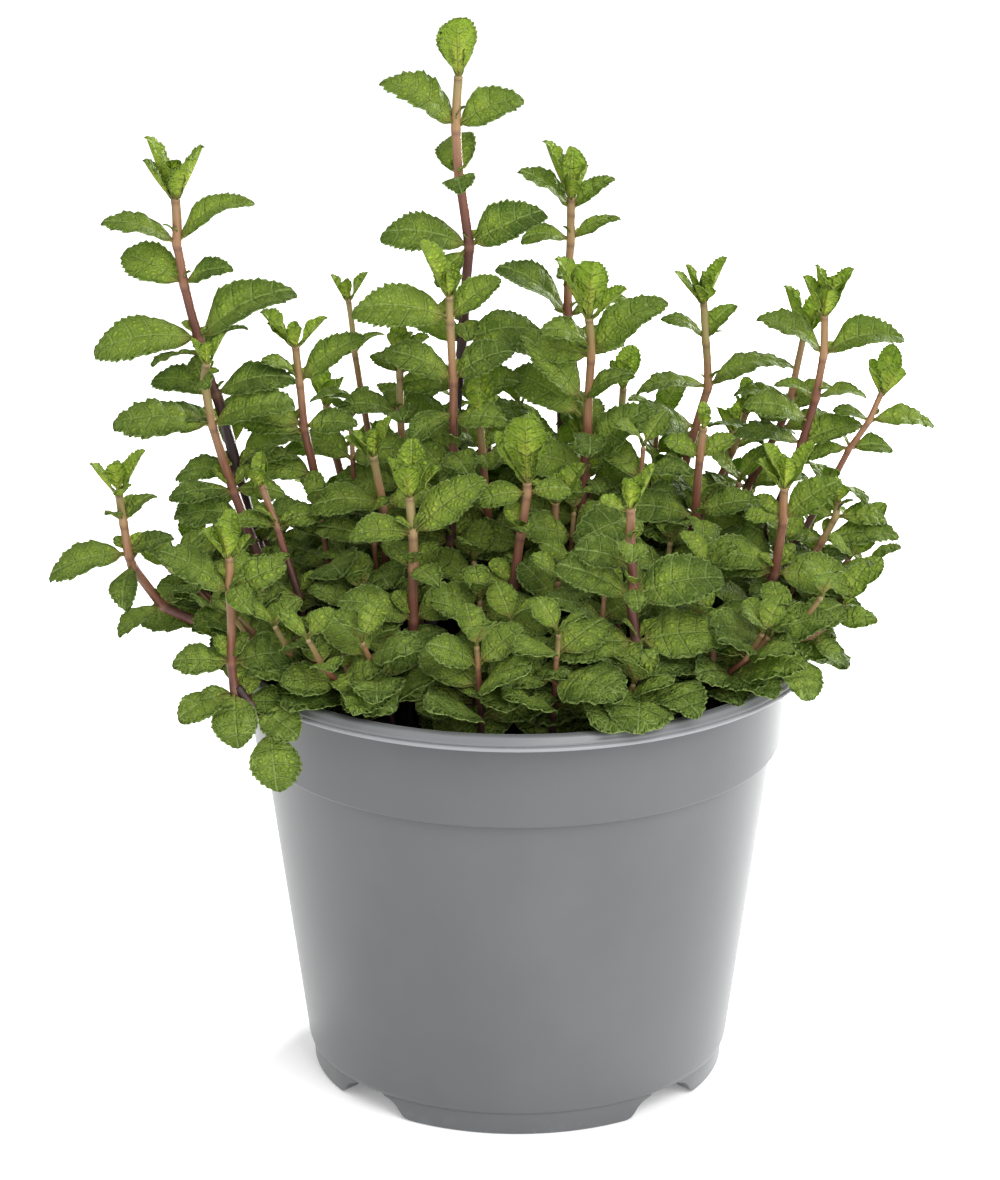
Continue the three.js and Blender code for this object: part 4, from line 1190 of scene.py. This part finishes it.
def make_lights(settings):
    """A white room, a large soft light over the right shoulder and a tall one at the right."""
    world = bpy.data.worlds.new("White room")
    world.use_nodes = True
    tree = world.node_tree
    sky = tree.nodes["Background"]
    sky.inputs["Color"].default_value = (1.0, 1.0, 1.0, 1.0)
    # The room is seen white, and lights the plant a little less than that
    seen = number(tree, "ShaderNodeLightPath", output="Is Camera Ray")
    feed(sky.inputs["Strength"], seen * (1 - settings.sky) + settings.sky)
    bpy.context.scene.world = world
    add_area_light("key_light", (0.75, -1.3, 1.35), (0, 0, 0.2), (1.3, 1.3), settings.key_power)
    add_area_light("side_light", (0.52, 0.95, 0.32), (0, 0, 0.1), (0.3, 0.6), settings.side_power)
    bpy.context.scene.view_settings.view_transform = "Standard"


def make_camera():
    """The camera in front of the pot and a little above it, at the picture's own angle."""
    camera = bpy.data.cameras.new("camera")
    camera.lens = 131.8
    camera.sensor_width = 36.0
    camera.shift_x = -0.0149
    camera.shift_y = 0.0007
    camera.clip_start, camera.clip_end = 0.05, 40.0
    holder = new_object("camera", camera)
    holder.location = Vector(AXIS) + Vector(CAMERA_PLACE)
    holder.rotation_euler = Euler((math.pi / 2 - CAMERA_DOWN, 0, 0))
    bpy.context.scene.camera = holder


# Node helpers

FLOAT, INTEGER, VECTOR = "NodeSocketFloat", "NodeSocketInt", "NodeSocketVector"
GEOMETRY, MATERIAL = "NodeSocketGeometry", "NodeSocketMaterial"


class Wire:
    """A number that a node gives out. Sums with it add the nodes that work them out."""

    def __init__(self, socket):
        self.socket = socket

    def maths(self, operation, *others, **settings):
        inputs = dict(enumerate((self, *others)))
        return number(self.socket.id_data, "ShaderNodeMath", inputs, operation=operation, **settings)

    def __add__(self, other):
        return self.maths("ADD", other)

    def __sub__(self, other):
        return self.maths("SUBTRACT", other)

    def __mul__(self, other):
        return self.maths("MULTIPLY", other)

    def __truediv__(self, other):
        return self.maths("DIVIDE", other)

    def __rtruediv__(self, other):
        return number(self.socket.id_data, "ShaderNodeMath", {0: other, 1: self}, operation="DIVIDE")

    def __abs__(self):
        return self.maths("ABSOLUTE")

    def or_more(self, other):
        """The larger of two numbers."""
        return self.maths("MAXIMUM", other)

    def fade(self, low, high, to_low=0.0, to_high=1.0):
        """Its share of the way from low to high, eased at both ends."""
        inputs = {"Value": self, "From Min": low, "From Max": high, "To Min": to_low, "To Max": to_high}
        return number(self.socket.id_data, "ShaderNodeMapRange", inputs, interpolation_type="SMOOTHSTEP")


def feed(socket, value):
    """Sets a socket to a value, or joins it to what feeds it."""
    if isinstance(value, Wire):
        value = value.socket
    if isinstance(value, bpy.types.NodeSocket):
        socket.id_data.links.new(value, socket)
    else:
        socket.default_value = value


def set_inputs(node, inputs):
    """Feeds a node's sockets, each by its name or number."""
    for key, value in inputs.items():
        feed(node.inputs[key], value)


def add_node(tree, kind, inputs=None, **settings):
    """Adds a node. Inputs maps a socket's name or number to a value or to what feeds it."""
    node = tree.nodes.new(kind)
    for name, value in settings.items():
        setattr(node, name, value)
    set_inputs(node, inputs or {})
    return node


def number(tree, kind, inputs=None, output=0, **settings):
    """Adds a node for the one number that it gives out."""
    return Wire(add_node(tree, kind, inputs, **settings).outputs[output])


def noise(place, scale, detail, roughness=0.5):
    inputs = {"Vector": place, "Scale": scale, "Detail": detail, "Roughness": roughness}
    return number(place.id_data, "ShaderNodeTexNoise", inputs)


def vector_maths(tree, operation, inputs):
    return add_node(tree, "ShaderNodeVectorMath", inputs, operation=operation).outputs[0]


def blend_colours(tree, share, first, second):
    """Colours are sockets, or settings of three numbers."""
    first, second = (colour if isinstance(colour, bpy.types.NodeSocket) else (*colour, 1.0)
                     for colour in (first, second))
    return add_node(tree, "ShaderNodeMix", {0: share, 6: first, 7: second}, data_type="RGBA").outputs[2]


def parts_of(vector):
    parts = add_node(vector.id_data, "ShaderNodeSeparateXYZ", {0: vector}).outputs
    return [Wire(part) for part in parts]


def layer(tree, name):
    return add_node(tree, "ShaderNodeAttribute", attribute_name=name).outputs["Vector"]


def object_place(tree):
    return add_node(tree, "ShaderNodeTexCoord").outputs["Object"]


def new_group(name, inputs, outputs, kind="ShaderNodeTree"):
    """A node group with named sockets. Inputs maps a name to (socket type, default)."""
    tree = bpy.data.node_groups.new(name, kind)
    for label, (socket_type, default) in inputs.items():
        socket = tree.interface.new_socket(label, in_out="INPUT", socket_type=socket_type)
        if default is not None:
            socket.default_value = default
    for label, socket_type in outputs.items():
        tree.interface.new_socket(label, in_out="OUTPUT", socket_type=socket_type)
    return tree, tree.nodes.new("NodeGroupInput").outputs, tree.nodes.new("NodeGroupOutput").inputs


def use_group(tree, group, **inputs):
    named = {name.replace("_", " "): value for name, value in inputs.items()}
    return add_node(tree, "ShaderNodeGroup", named, node_tree=group).outputs


def new_material(name):
    """A material with its Principled shader joined to the output, and its tree."""
    material = bpy.data.materials.new(name)
    material.use_nodes = True
    tree = material.node_tree
    return material, tree, tree.nodes["Principled BSDF"]


def finish_shader(shader, colour, roughness, specular, height, strength, distance):
    """Feeds a Principled shader, with a bump from a height, and gives the bump's normal."""
    normal = add_node(shader.id_data, "ShaderNodeBump", {
        "Height": height, "Strength": strength, "Distance": distance}).outputs["Normal"]
    set_inputs(shader, {"Base Color": colour, "Roughness": roughness, "Specular IOR Level": specular,
                        "Normal": normal})
    return normal


# Materials

def mottle_group():
    """Soft uneven patches: a value round 0.5 that wanders over the surface."""
    known = bpy.data.node_groups.get("Mottle")
    if known:
        return known
    tree, given, out = new_group("Mottle", {
        "Place": (VECTOR, None), "Patch Size": (FLOAT, 0.01), "Detail": (FLOAT, 3.0),
        "Spread": (FLOAT, 1.0)}, {"Value": FLOAT})
    wander = noise(given["Place"], 1.0 / Wire(given["Patch Size"]), given["Detail"], 0.55) - 0.5
    spread = wander * given["Spread"]
    feed(out["Value"], spread.maths("ADD", 0.5, use_clamp=True))
    return tree


def grain_group():
    """Fine grain as a height, for bump."""
    known = bpy.data.node_groups.get("Fine grain")
    if known:
        return known
    tree, given, out = new_group("Fine grain", {
        "Place": (VECTOR, None), "Grain Size": (FLOAT, 0.0006), "Coarse Share": (FLOAT, 0.4)},
        {"Height": FLOAT})
    scale = 1.0 / Wire(given["Grain Size"])
    fine = noise(given["Place"], scale, 2.0, 0.6)
    coarse = noise(given["Place"], scale / 9.0, 2.0)
    feed(out["Height"], coarse * given["Coarse Share"] + fine)
    return tree


def mottle(place, patch_size, spread, detail=3.0):
    group = use_group(place.id_data, mottle_group(), Place=place, Patch_Size=patch_size, Detail=detail,
                      Spread=spread)
    return Wire(group["Value"])


def fine_grain(place, grain_size, coarse_share):
    group = use_group(place.id_data, grain_group(), Place=place, Grain_Size=grain_size,
                      Coarse_Share=coarse_share)
    return Wire(group["Height"])


def vein_group():
    """A blade's veins: the midrib, the side veins, the fine net between them and the cushions in it."""
    tree, given, out = new_group("Leaf veins", {
        "Rib": (VECTOR, None), "Sheet": (VECTOR, None), "Net Size": (FLOAT, 1.1)},
        {"Midrib": FLOAT, "Side Veins": FLOAT, "Net": FLOAT, "Cushions": FLOAT})
    vein, share, _ = parts_of(given["Rib"])
    x, y, seed = parts_of(given["Sheet"])
    off_vein = abs((vein + 0.5).maths("FRACT") - 0.5)
    side = (off_vein / (share * -0.07 + 0.13)).fade(1.0, 0.25)
    place = add_node(tree, "ShaderNodeCombineXYZ", {0: x, 1: y, 2: seed * 3.7}).outputs[0]
    wobble = add_node(tree, "ShaderNodeTexNoise", {"Vector": place, "Scale": 0.9, "Detail": 1.0})
    moved = vector_maths(tree, "MULTIPLY_ADD", {0: wobble.outputs["Color"], 1: (0.5, 0.5, 0.0), 2: place})
    from_net = number(tree, "ShaderNodeTexVoronoi", {
        "Vector": moved, "Scale": 1.0 / Wire(given["Net Size"])}, "Distance", feature="DISTANCE_TO_EDGE")
    feed(out["Midrib"], abs(y).fade(0.55, 0.15))
    feed(out["Side Veins"], side * vein.fade(0.2, 0.6))
    feed(out["Net"], from_net.fade(0.14, 0.0))
    feed(out["Cushions"], from_net.fade(0.0, 0.42))
    return tree


def leaf_material(looks):
    material, tree, shader = new_material("Mint leaf")
    rib, sheet, tone = layer(tree, "rib"), layer(tree, "sheet"), layer(tree, "tone")
    midrib, side_veins, net, cushions = (
        Wire(value) for value in use_group(tree, vein_group(), Rib=rib, Sheet=sheet, Net_Size=1.6))
    _, share, side = parts_of(rib)
    age, tint, blade = parts_of(tone)
    place = object_place(tree)
    low = parts_of(place)[2].fade(0.182, 0.15)
    patches = mottle(place, 0.007, 2.0)
    grown = blend_colours(tree, tint, looks.grown_dark, looks.grown_light)
    # Yellower from the base along the midrib, darker towards the edges and the tip
    flush = (blade.fade(0.85, 0.05) * share.fade(1.0, 0.1) + 0.25) * patches.fade(0.25, 0.85, 0.1, 0.9)
    grown = blend_colours(tree, flush, grown, looks.flush_colour)
    margin = share.fade(0.5, 1.0, 0.0, 0.45).or_more(blade.fade(0.7, 1.0, 0.0, 0.5))
    grown = blend_colours(tree, margin, grown, looks.edge_colour)
    # A young blade is palest in a streak up its middle
    streak = share.fade(0.65, 0.0) * blade.fade(0.95, 0.3)
    young = blend_colours(tree, streak, looks.young_colour, looks.streak_colour)
    green = blend_colours(tree, age.fade(0.0, 0.9), young, grown)
    # The upper face: pale veins between cushions, with painted shade in the creases along the veins and
    # painted light on the cushions' crests
    cushion_light_and_shade = vector_maths(tree, "SCALE", {0: green, 3: cushions * 0.66 + 0.69})
    vein_colour = blend_colours(tree, 0.6, green, looks.vein_colour)
    fine_net = net * (low * 0.25 + 0.4) * patches.fade(0.3, 0.8, 0.6, 1.5)
    showing = (side_veins * 0.62).or_more(midrib * 0.85).or_more(fine_net)
    upper = blend_colours(tree, showing, cushion_light_and_shade, vein_colour)
    # The lower face: paler, with a reddish midrib and base
    below = blend_colours(tree, age.fade(0.0, 0.8, 0.05, 0.6), green, looks.under_colour)
    below = blend_colours(tree, side_veins * 0.4, below, looks.vein_colour)
    reddish = (midrib * blade.fade(0.9, 0.4, 0.2, 0.8)).or_more(blade.fade(0.26, 0.0, 0.0, 0.7))
    below = blend_colours(tree, reddish * age.fade(0.0, 0.7, 0.12, 1.0), below, looks.under_rib_colour)
    faces = blend_colours(tree, side, upper, below)
    # A fine pale line follows the teeth: a painted highlight along the blade's edge
    edge_highlighted = blend_colours(tree, share.fade(0.91, 0.98) * (low * 0.1 + 0.6), faces, looks.vein_colour)
    coloured = blend_colours(tree, blade.fade(0.13, 0.0, 0.0, 0.85), edge_highlighted, looks.stalk_colour)
    rough = patches * 0.2 + looks.leaf_roughness + side * 0.16
    # What rises on the upper face sinks on the lower one
    height = (cushions * 0.8 - side_veins * 0.7 - midrib * 0.6) * (side * -2.0 + 1.0)
    normal = finish_shader(shader, coloured, rough, 0.12, height, 1.0, 0.0007)
    shader.inputs["Specular Tint"].default_value = (0.9, 1.0, 0.55, 1.0)
    through = add_node(tree, "ShaderNodeBsdfTranslucent", {
        "Color": blend_colours(tree, 0.55, coloured, looks.through_colour), "Normal": normal})
    both = add_node(tree, "ShaderNodeMixShader", {
        0: looks.see_through, 1: shader.outputs[0], 2: through.outputs[0]})
    feed(tree.nodes["Material Output"].inputs["Surface"], both.outputs[0])
    return material


def stem_material(looks):
    material, tree, shader = new_material("Mint stem")
    ripe, ring, joint = parts_of(layer(tree, "rib"))
    travelled, around, seed = parts_of(layer(tree, "sheet"))
    _, tint, _ = parts_of(layer(tree, "tone"))
    place = object_place(tree)
    streak_place = add_node(tree, "ShaderNodeCombineXYZ", {0: travelled * 0.12, 1: around * 1.6, 2: seed})
    streaks = noise(streak_place.outputs[0], 1.0, 3.0, 0.6)
    # Older towards the compost, unevenly
    shift = (mottle(place, 0.02, 1.6) + tint) * 0.24 - 0.24 + (streaks * 0.3 - 0.15)
    ramp = add_node(tree, "ShaderNodeValToRGB", {"Fac": ripe.maths("ADD", shift, use_clamp=True)})
    stops = ramp.color_ramp.elements
    stops[0].position, stops[0].color = 0.0, (*looks.stem_tip, 1)
    stops[1].position, stops[1].color = 0.84, (*looks.stem_base, 1)
    for position, colour in ((0.14, looks.stem_pale), (0.36, looks.stem_red), (0.57, looks.stem_brown)):
        stops.new(position).color = (*colour, 1)
    coloured = blend_colours(tree, ring * 0.55, ramp.outputs["Color"], looks.stem_brown)
    coloured = blend_colours(tree, joint * 0.25, coloured, looks.stem_pale)
    height = streaks * 1.4 + fine_grain(place, 0.0005, 0.6)
    finish_shader(shader, coloured, streaks * 0.2 + 0.34, 0.45, height, 0.35, 0.0003)
    return material


def plastic_material(pot):
    material, tree, shader = new_material("Grey moulded plastic")
    place = object_place(tree)
    height = parts_of(place)[2]
    patches = mottle(place, 0.05, 1.2)
    plastic = blend_colours(tree, patches.fade(0.2, 0.8), pot.colour_low, pot.colour_high)
    # Painted light: the rim is painted paler than the body, and paler still along its lower and inner
    # edges as painted highlights
    lit_rim_share = height.fade(RIM_FOOT - 0.0004, RIM_FOOT + 0.0004)
    plastic = blend_colours(tree, lit_rim_share, plastic, pot.lit_rim_colour)
    # Painted highlights along the lip's lower edge and the rim's inner top edge
    lip_edge_highlight = lit_rim_share * height.fade(RIM_FOOT + 0.0016, RIM_FOOT + 0.001)
    flat = vector_maths(tree, "MULTIPLY", {0: place, 1: (1, 1, 0)})
    radius = number(tree, "ShaderNodeVectorMath", {0: flat, 1: tuple(AXIS)}, "Value", operation="DISTANCE")
    inner_edge_highlight = (height.fade(RIM_TOP * MM - 0.0012, RIM_TOP * MM - 0.0004)
                  * radius.fade((RIM_RADIUS - 3.1) * MM, (RIM_RADIUS - 3.9) * MM))
    plastic = blend_colours(tree, lip_edge_highlight.or_more(inner_edge_highlight), plastic, pot.lip_highlight_colour)
    worn = height.fade(0.007, 0.0) * mottle(place, 0.004, 2.2, 5.0).fade(0.5, 0.8, 0.0, 0.06)
    coloured = blend_colours(tree, worn, plastic, pot.worn_colour)
    # Fine marks run round the pot, as stacked pots leave when they are pulled apart
    drawn_round = add_node(tree, "ShaderNodeMapping", {"Vector": place, "Scale": (60, 60, 900)})
    marks = noise(drawn_round.outputs[0], 1.0, 4.0, 0.7)
    rough = patches * 0.05 + pot.roughness + marks.fade(0.56, 0.78) * 0.03 + worn * 0.3
    finish_shader(shader, coloured, rough, 0.34, fine_grain(place, 0.0007, 0.5), 0.16, 0.0001)
    return material


def compost_material(soil):
    material, tree, shader = new_material("Compost")
    place = object_place(tree)
    damp = mottle(place, 0.03, 1.6, 2.0)
    earth = blend_colours(tree, mottle(place, 0.0035, 2.0, 6.0), soil.dark_colour, soil.light_colour)
    wet = blend_colours(tree, damp.fade(0.3, 0.8, 0.0, 0.6), earth, soil.dark_colour)
    fibres = number(tree, "ShaderNodeTexVoronoi", {"Vector": place, "Scale": 900.0}, "Distance")
    coloured = blend_colours(tree, fibres.fade(0.16, 0.05, 0.0, 0.5), wet, soil.fleck_colour)
    finish_shader(shader, coloured, damp * -0.25 + 1.0, 0.5, fine_grain(place, 0.0011, 1.2), 0.8, 0.0008)
    return material


def backdrop_material(stage):
    material, tree, shader = new_material("Studio paper")
    duller = [part * 0.985 for part in stage.paper_colour]
    pale = blend_colours(tree, mottle(object_place(tree), 0.4, 0.5), duller, stage.paper_colour)
    set_inputs(shader, {"Base Color": pale, "Roughness": 0.9, "Specular IOR Level": 0.1,
                        "Emission Color": (1.0, 1.0, 1.0, 1.0), "Emission Strength": stage.glow})
    return material


# Settings

def colour_property(name, description, default):
    return FloatVectorProperty(name=name, description=description, default=default, subtype="COLOR",
                               size=3, min=0.0, max=1.0)


def length_property(name, description, default):
    return FloatProperty(name=name, description=description, default=default, unit="LENGTH", precision=5)


def share_property(name, description, default):
    return FloatProperty(name=name, description=description, default=default, subtype="FACTOR", min=0.0,
                         max=1.0)


class MintPotSettings(bpy.types.PropertyGroup):
    sides: IntProperty(name="Sides", description="Faces round the pot", default=160, min=24)
    feet: IntProperty(name="Feet", description="Feet round the pot's base", default=4, min=2)
    roughness: share_property("Roughness", "How dull the plastic is", 0.29)
    colour_low: colour_property("Colour", "The plastic's darker shade", (0.103, 0.106, 0.11))
    colour_high: colour_property("Lighter", "The plastic's lighter shade", (0.116, 0.119, 0.123))
    # Painted light: the rim's plastic is painted paler than the body
    lit_rim_colour: colour_property("Rim", "The rim's paler plastic", (0.16, 0.163, 0.169))
    # Painted highlights along the rim's lower and inner edges
    lip_highlight_colour: colour_property("Lip", "The rim's lower and inner edges", (0.27, 0.274, 0.285))
    worn_colour: colour_property("Worn", "Rubbed plastic under the feet", (0.36, 0.37, 0.38))


class MintSoilSettings(bpy.types.PropertyGroup):
    crumbs: IntProperty(name="Crumbs", description="Crumbs on each square metre of compost", default=21000)
    crumb_size: length_property("Crumb size", "Radius of a common crumb", 0.0013)
    seed: IntProperty(name="Seed", description="Where the crumbs fall", default=7)
    dark_colour: colour_property("Wet", "Compost where it is wet", (0.024, 0.018, 0.014))
    light_colour: colour_property("Dry", "Compost where it is drier", (0.08, 0.056, 0.04))
    fleck_colour: colour_property("Flecks", "Fibres in the compost", (0.13, 0.085, 0.045))


class MintLeafSettings(bpy.types.PropertyGroup):
    leaf_thickness: length_property("Thickness", "A blade's thickness", 0.0004)
    quilt_height: length_property("Quilting", "How far a blade swells between its veins", 0.00095)
    tooth_depth: share_property("Teeth", "Teeth as a share of a blade's half width", 0.052)
    seed: IntProperty(name="Seed", description="Small irregularities of the leaves", default=11)
    undergrowth: IntProperty(name="Low shoots", description="Short shoots that fill the crowd", default=74)
    leaf_roughness: share_property("Roughness", "How dull a blade is", 0.6)
    see_through: share_property("Light through", "Share of light that a blade lets through", 0.3)
    grown_dark: colour_property("Grown, dark", "A grown leaf", (0.073, 0.124, 0.022))
    grown_light: colour_property("Grown, light", "A lighter grown leaf", (0.222, 0.31, 0.044))
    young_colour: colour_property("Young", "A leaf at a tip", (0.32, 0.45, 0.048))
    streak_colour: colour_property("Young, middle", "The middle of a leaf at a tip", (0.56, 0.65, 0.09))
    under_colour: colour_property("Underside", "A blade's lower face", (0.2, 0.29, 0.075))
    under_rib_colour: colour_property("Underside rib", "The midrib on a lower face", (0.26, 0.16, 0.075))
    vein_colour: colour_property("Veins", "Veins", (0.37, 0.49, 0.15))
    flush_colour: colour_property("Flush", "Yellow patches near a base", (0.295, 0.388, 0.052))
    edge_colour: colour_property("Edge", "A blade towards its edge", (0.034, 0.066, 0.013))
    stalk_colour: colour_property("Stalk", "A leaf's stalk", (0.23, 0.22, 0.06))
    through_colour: colour_property("Light", "Light that comes through", (0.32, 0.55, 0.05))
    stem_tip: colour_property("Stem tip", "A stem's newest length", (0.31, 0.25, 0.1))
    stem_pale: colour_property("Stem, pale", "A stem below its tip", (0.33, 0.18, 0.088))
    stem_red: colour_property("Stem, red", "A stem's middle", (0.17, 0.06, 0.034))
    stem_brown: colour_property("Stem, brown", "A stem's lower half", (0.08, 0.025, 0.02))
    stem_base: colour_property("Stem base", "A stem near the compost", (0.026, 0.011, 0.014))


class MintStageSettings(bpy.types.PropertyGroup):
    paper_colour: colour_property("Paper", "The floor and backdrop", (0.95, 0.95, 0.95))
    key_power: FloatProperty(name="Key light", description="Power of the light over the right shoulder",
                             default=28.0, unit="POWER")
    side_power: FloatProperty(name="Side light", description="Power of the tall light at the right",
                              default=26.0, unit="POWER")
    sky: share_property("Room light", "How much the white room lights the plant", 0.96)
    glow: share_property("Paper glow", "Keeps the paper white far from the lights", 0.2)


# Operators

class MINT_OT_pot(bpy.types.Operator):
    """Makes the pot: lip, band, tapered body, floor with its drain holes, and feet"""

    bl_idname = "mint.make_pot"
    bl_label = "Pot"

    def execute(self, context):
        settings = context.scene.mint_pot
        plastic = plastic_material(settings)
        pot = lathe("nursery_pot", pot_profile(), settings.sides)
        feet = lathe("pot_feet", foot_profile(), settings.sides, closed=True)
        cut(feet, foot_gaps(settings, plastic), "DIFFERENCE")
        cut(pot, feet, "UNION")
        for ring, count in ((DRAIN_RING, settings.feet), (0.0, 1)):
            cut(pot, drain_tool(settings, ring, count, plastic), "DIFFERENCE")
        for polygon in pot.data.polygons:
            polygon.use_smooth = True
        pot.data.set_sharp_from_angle(angle=math.radians(38))
        pot.data.materials.clear()
        pot.data.materials.append(plastic)
        settle(pot, "grey_plastic", "pot")
        return {"FINISHED"}


class MINT_OT_soil(bpy.types.Operator):
    """Makes the compost: an uneven bed and loose crumbs on it"""

    bl_idname = "mint.make_soil"
    bl_label = "Compost"

    def execute(self, context):
        settings = context.scene.mint_soil
        earth = compost_material(settings)
        bed = soil_bed(settings, earth)
        crumbs = soil_crumbs(settings, bed, earth)
        settle(bed, "compost", "soil")
        settle(crumbs, "compost")
        return {"FINISHED"}


class MINT_OT_stems(bpy.types.Operator):
    """Makes the leafy stems, one piece for each solid, and the low shoots between them"""

    bl_idname = "mint.make_stems"
    bl_label = "Leafy stems"

    def execute(self, context):
        settings = context.scene.mint_leaves
        materials = [leaf_material(settings), stem_material(settings)]
        draw = np.random.default_rng(settings.seed)
        crowd = Crowd()
        shells, tips, waiting = {}, {}, []
        # The leaves that the solids have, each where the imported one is
        for name, girth, root, nodes, tip in STEMS:
            shell = shells[name] = Shell()
            tips[name] = (*tip[:2], tip[2] - TIP_LEAF_DROP)
            joints = [np.array(joint[:3], float) for joint in [*nodes, tip]]
            add_stem(shell, stem_route(root, joints), girth, draw)
            crowd.take(shell.points[0])
            tree = node_tree("sprig_" + name)
            for node, azimuth, length, rise, age, solid in pairs_of(nodes, tip):
                place = packed_place(tree, node, azimuth, length, rise) if solid else None
                if place is None:
                    waiting.append((shell, (node, azimuth, length, rise), age))
                    continue
                leaf = Leaf(node, *place, age, draw)
                leaf.add_to(shell, settings)
                crowd.take(leaf.places(settings))
        # Those that the solids leave out, where there is room
        for shell, place, age in waiting:
            most = OVERLAP["young" if age < 0.1 else "grown"]
            place_leaf(shell, crowd, settings, place, age, draw, most)
        for name, *place in TIP_LEAVES:
            place_leaf(shells[name], crowd, settings, (tips[name], *place), TIP_AGE, draw, OVERLAP["tip"])
        add_listed(shells, crowd, settings, MORE_LEAVES, BETWEEN_AGE, OVERLAP["between"], draw)
        for name, _, _, nodes, tip in STEMS:
            add_axil_leaves(shells[name], crowd, settings, nodes, tip, draw)
        add_stem(shells["front_left"], HANGING_STEM, HANGING_GIRTH, draw, 8)
        add_listed(shells, crowd, settings, RIM_LEAVES, RIM_AGE, OVERLAP["rim"], draw)
        low = [Shell() for _ in LOW_SHOOTS]
        add_side_shoots(low, crowd, settings, draw)
        add_low_shoots(low, crowd, settings, draw)
        for name, shell in shells.items():
            settle(shell.build("mint_" + name, materials), "mint_leaf", "sprig_" + name)
        for name, shell in zip(LOW_SHOOTS, low):
            settle(shell.build(name, materials), "mint_leaf")
        return {"FINISHED"}


class MINT_OT_stage(bpy.types.Operator):
    """Makes the pale floor, the soft studio light and the camera"""

    bl_idname = "mint.make_stage"
    bl_label = "Studio"

    def execute(self, context):
        settings = context.scene.mint_stage
        make_backdrop(settings)
        make_lights(settings)
        make_camera()
        return {"FINISHED"}


class MINT_PT_panel(bpy.types.Panel):
    """Lists the plant's pieces and their settings"""

    bl_idname = "MINT_PT_panel"
    bl_label = "Potted mint"
    bl_space_type = "VIEW_3D"
    bl_region_type = "UI"
    bl_category = "Mint"

    def draw(self, context):
        for settings, operator in PANEL_ROWS:
            box = self.layout.box()
            box.operator(operator.bl_idname)
            values = getattr(context.scene, settings)
            for name in values.__annotations__:
                box.prop(values, name)


SETTINGS = {
    "mint_pot": MintPotSettings,
    "mint_soil": MintSoilSettings,
    "mint_leaves": MintLeafSettings,
    "mint_stage": MintStageSettings,
}
OPERATORS = [MINT_OT_pot, MINT_OT_soil, MINT_OT_stems, MINT_OT_stage]
PANEL_ROWS = list(zip(SETTINGS, OPERATORS))
CLASSES = [*SETTINGS.values(), *OPERATORS, MINT_PT_panel]


def register():
    for made in CLASSES:
        bpy.utils.register_class(made)
    for name, group in SETTINGS.items():
        setattr(bpy.types.Scene, name, PointerProperty(type=group))


def unregister():
    for name in SETTINGS:
        delattr(bpy.types.Scene, name)
    for made in reversed(CLASSES):
        bpy.utils.unregister_class(made)


def main():
    register()
    bpy.ops.mint.make_pot()
    bpy.ops.mint.make_soil()
    bpy.ops.mint.make_stems()
    bpy.ops.mint.make_stage()
    bpy.context.view_layer.update()


if __name__ == "__main__":
    main()
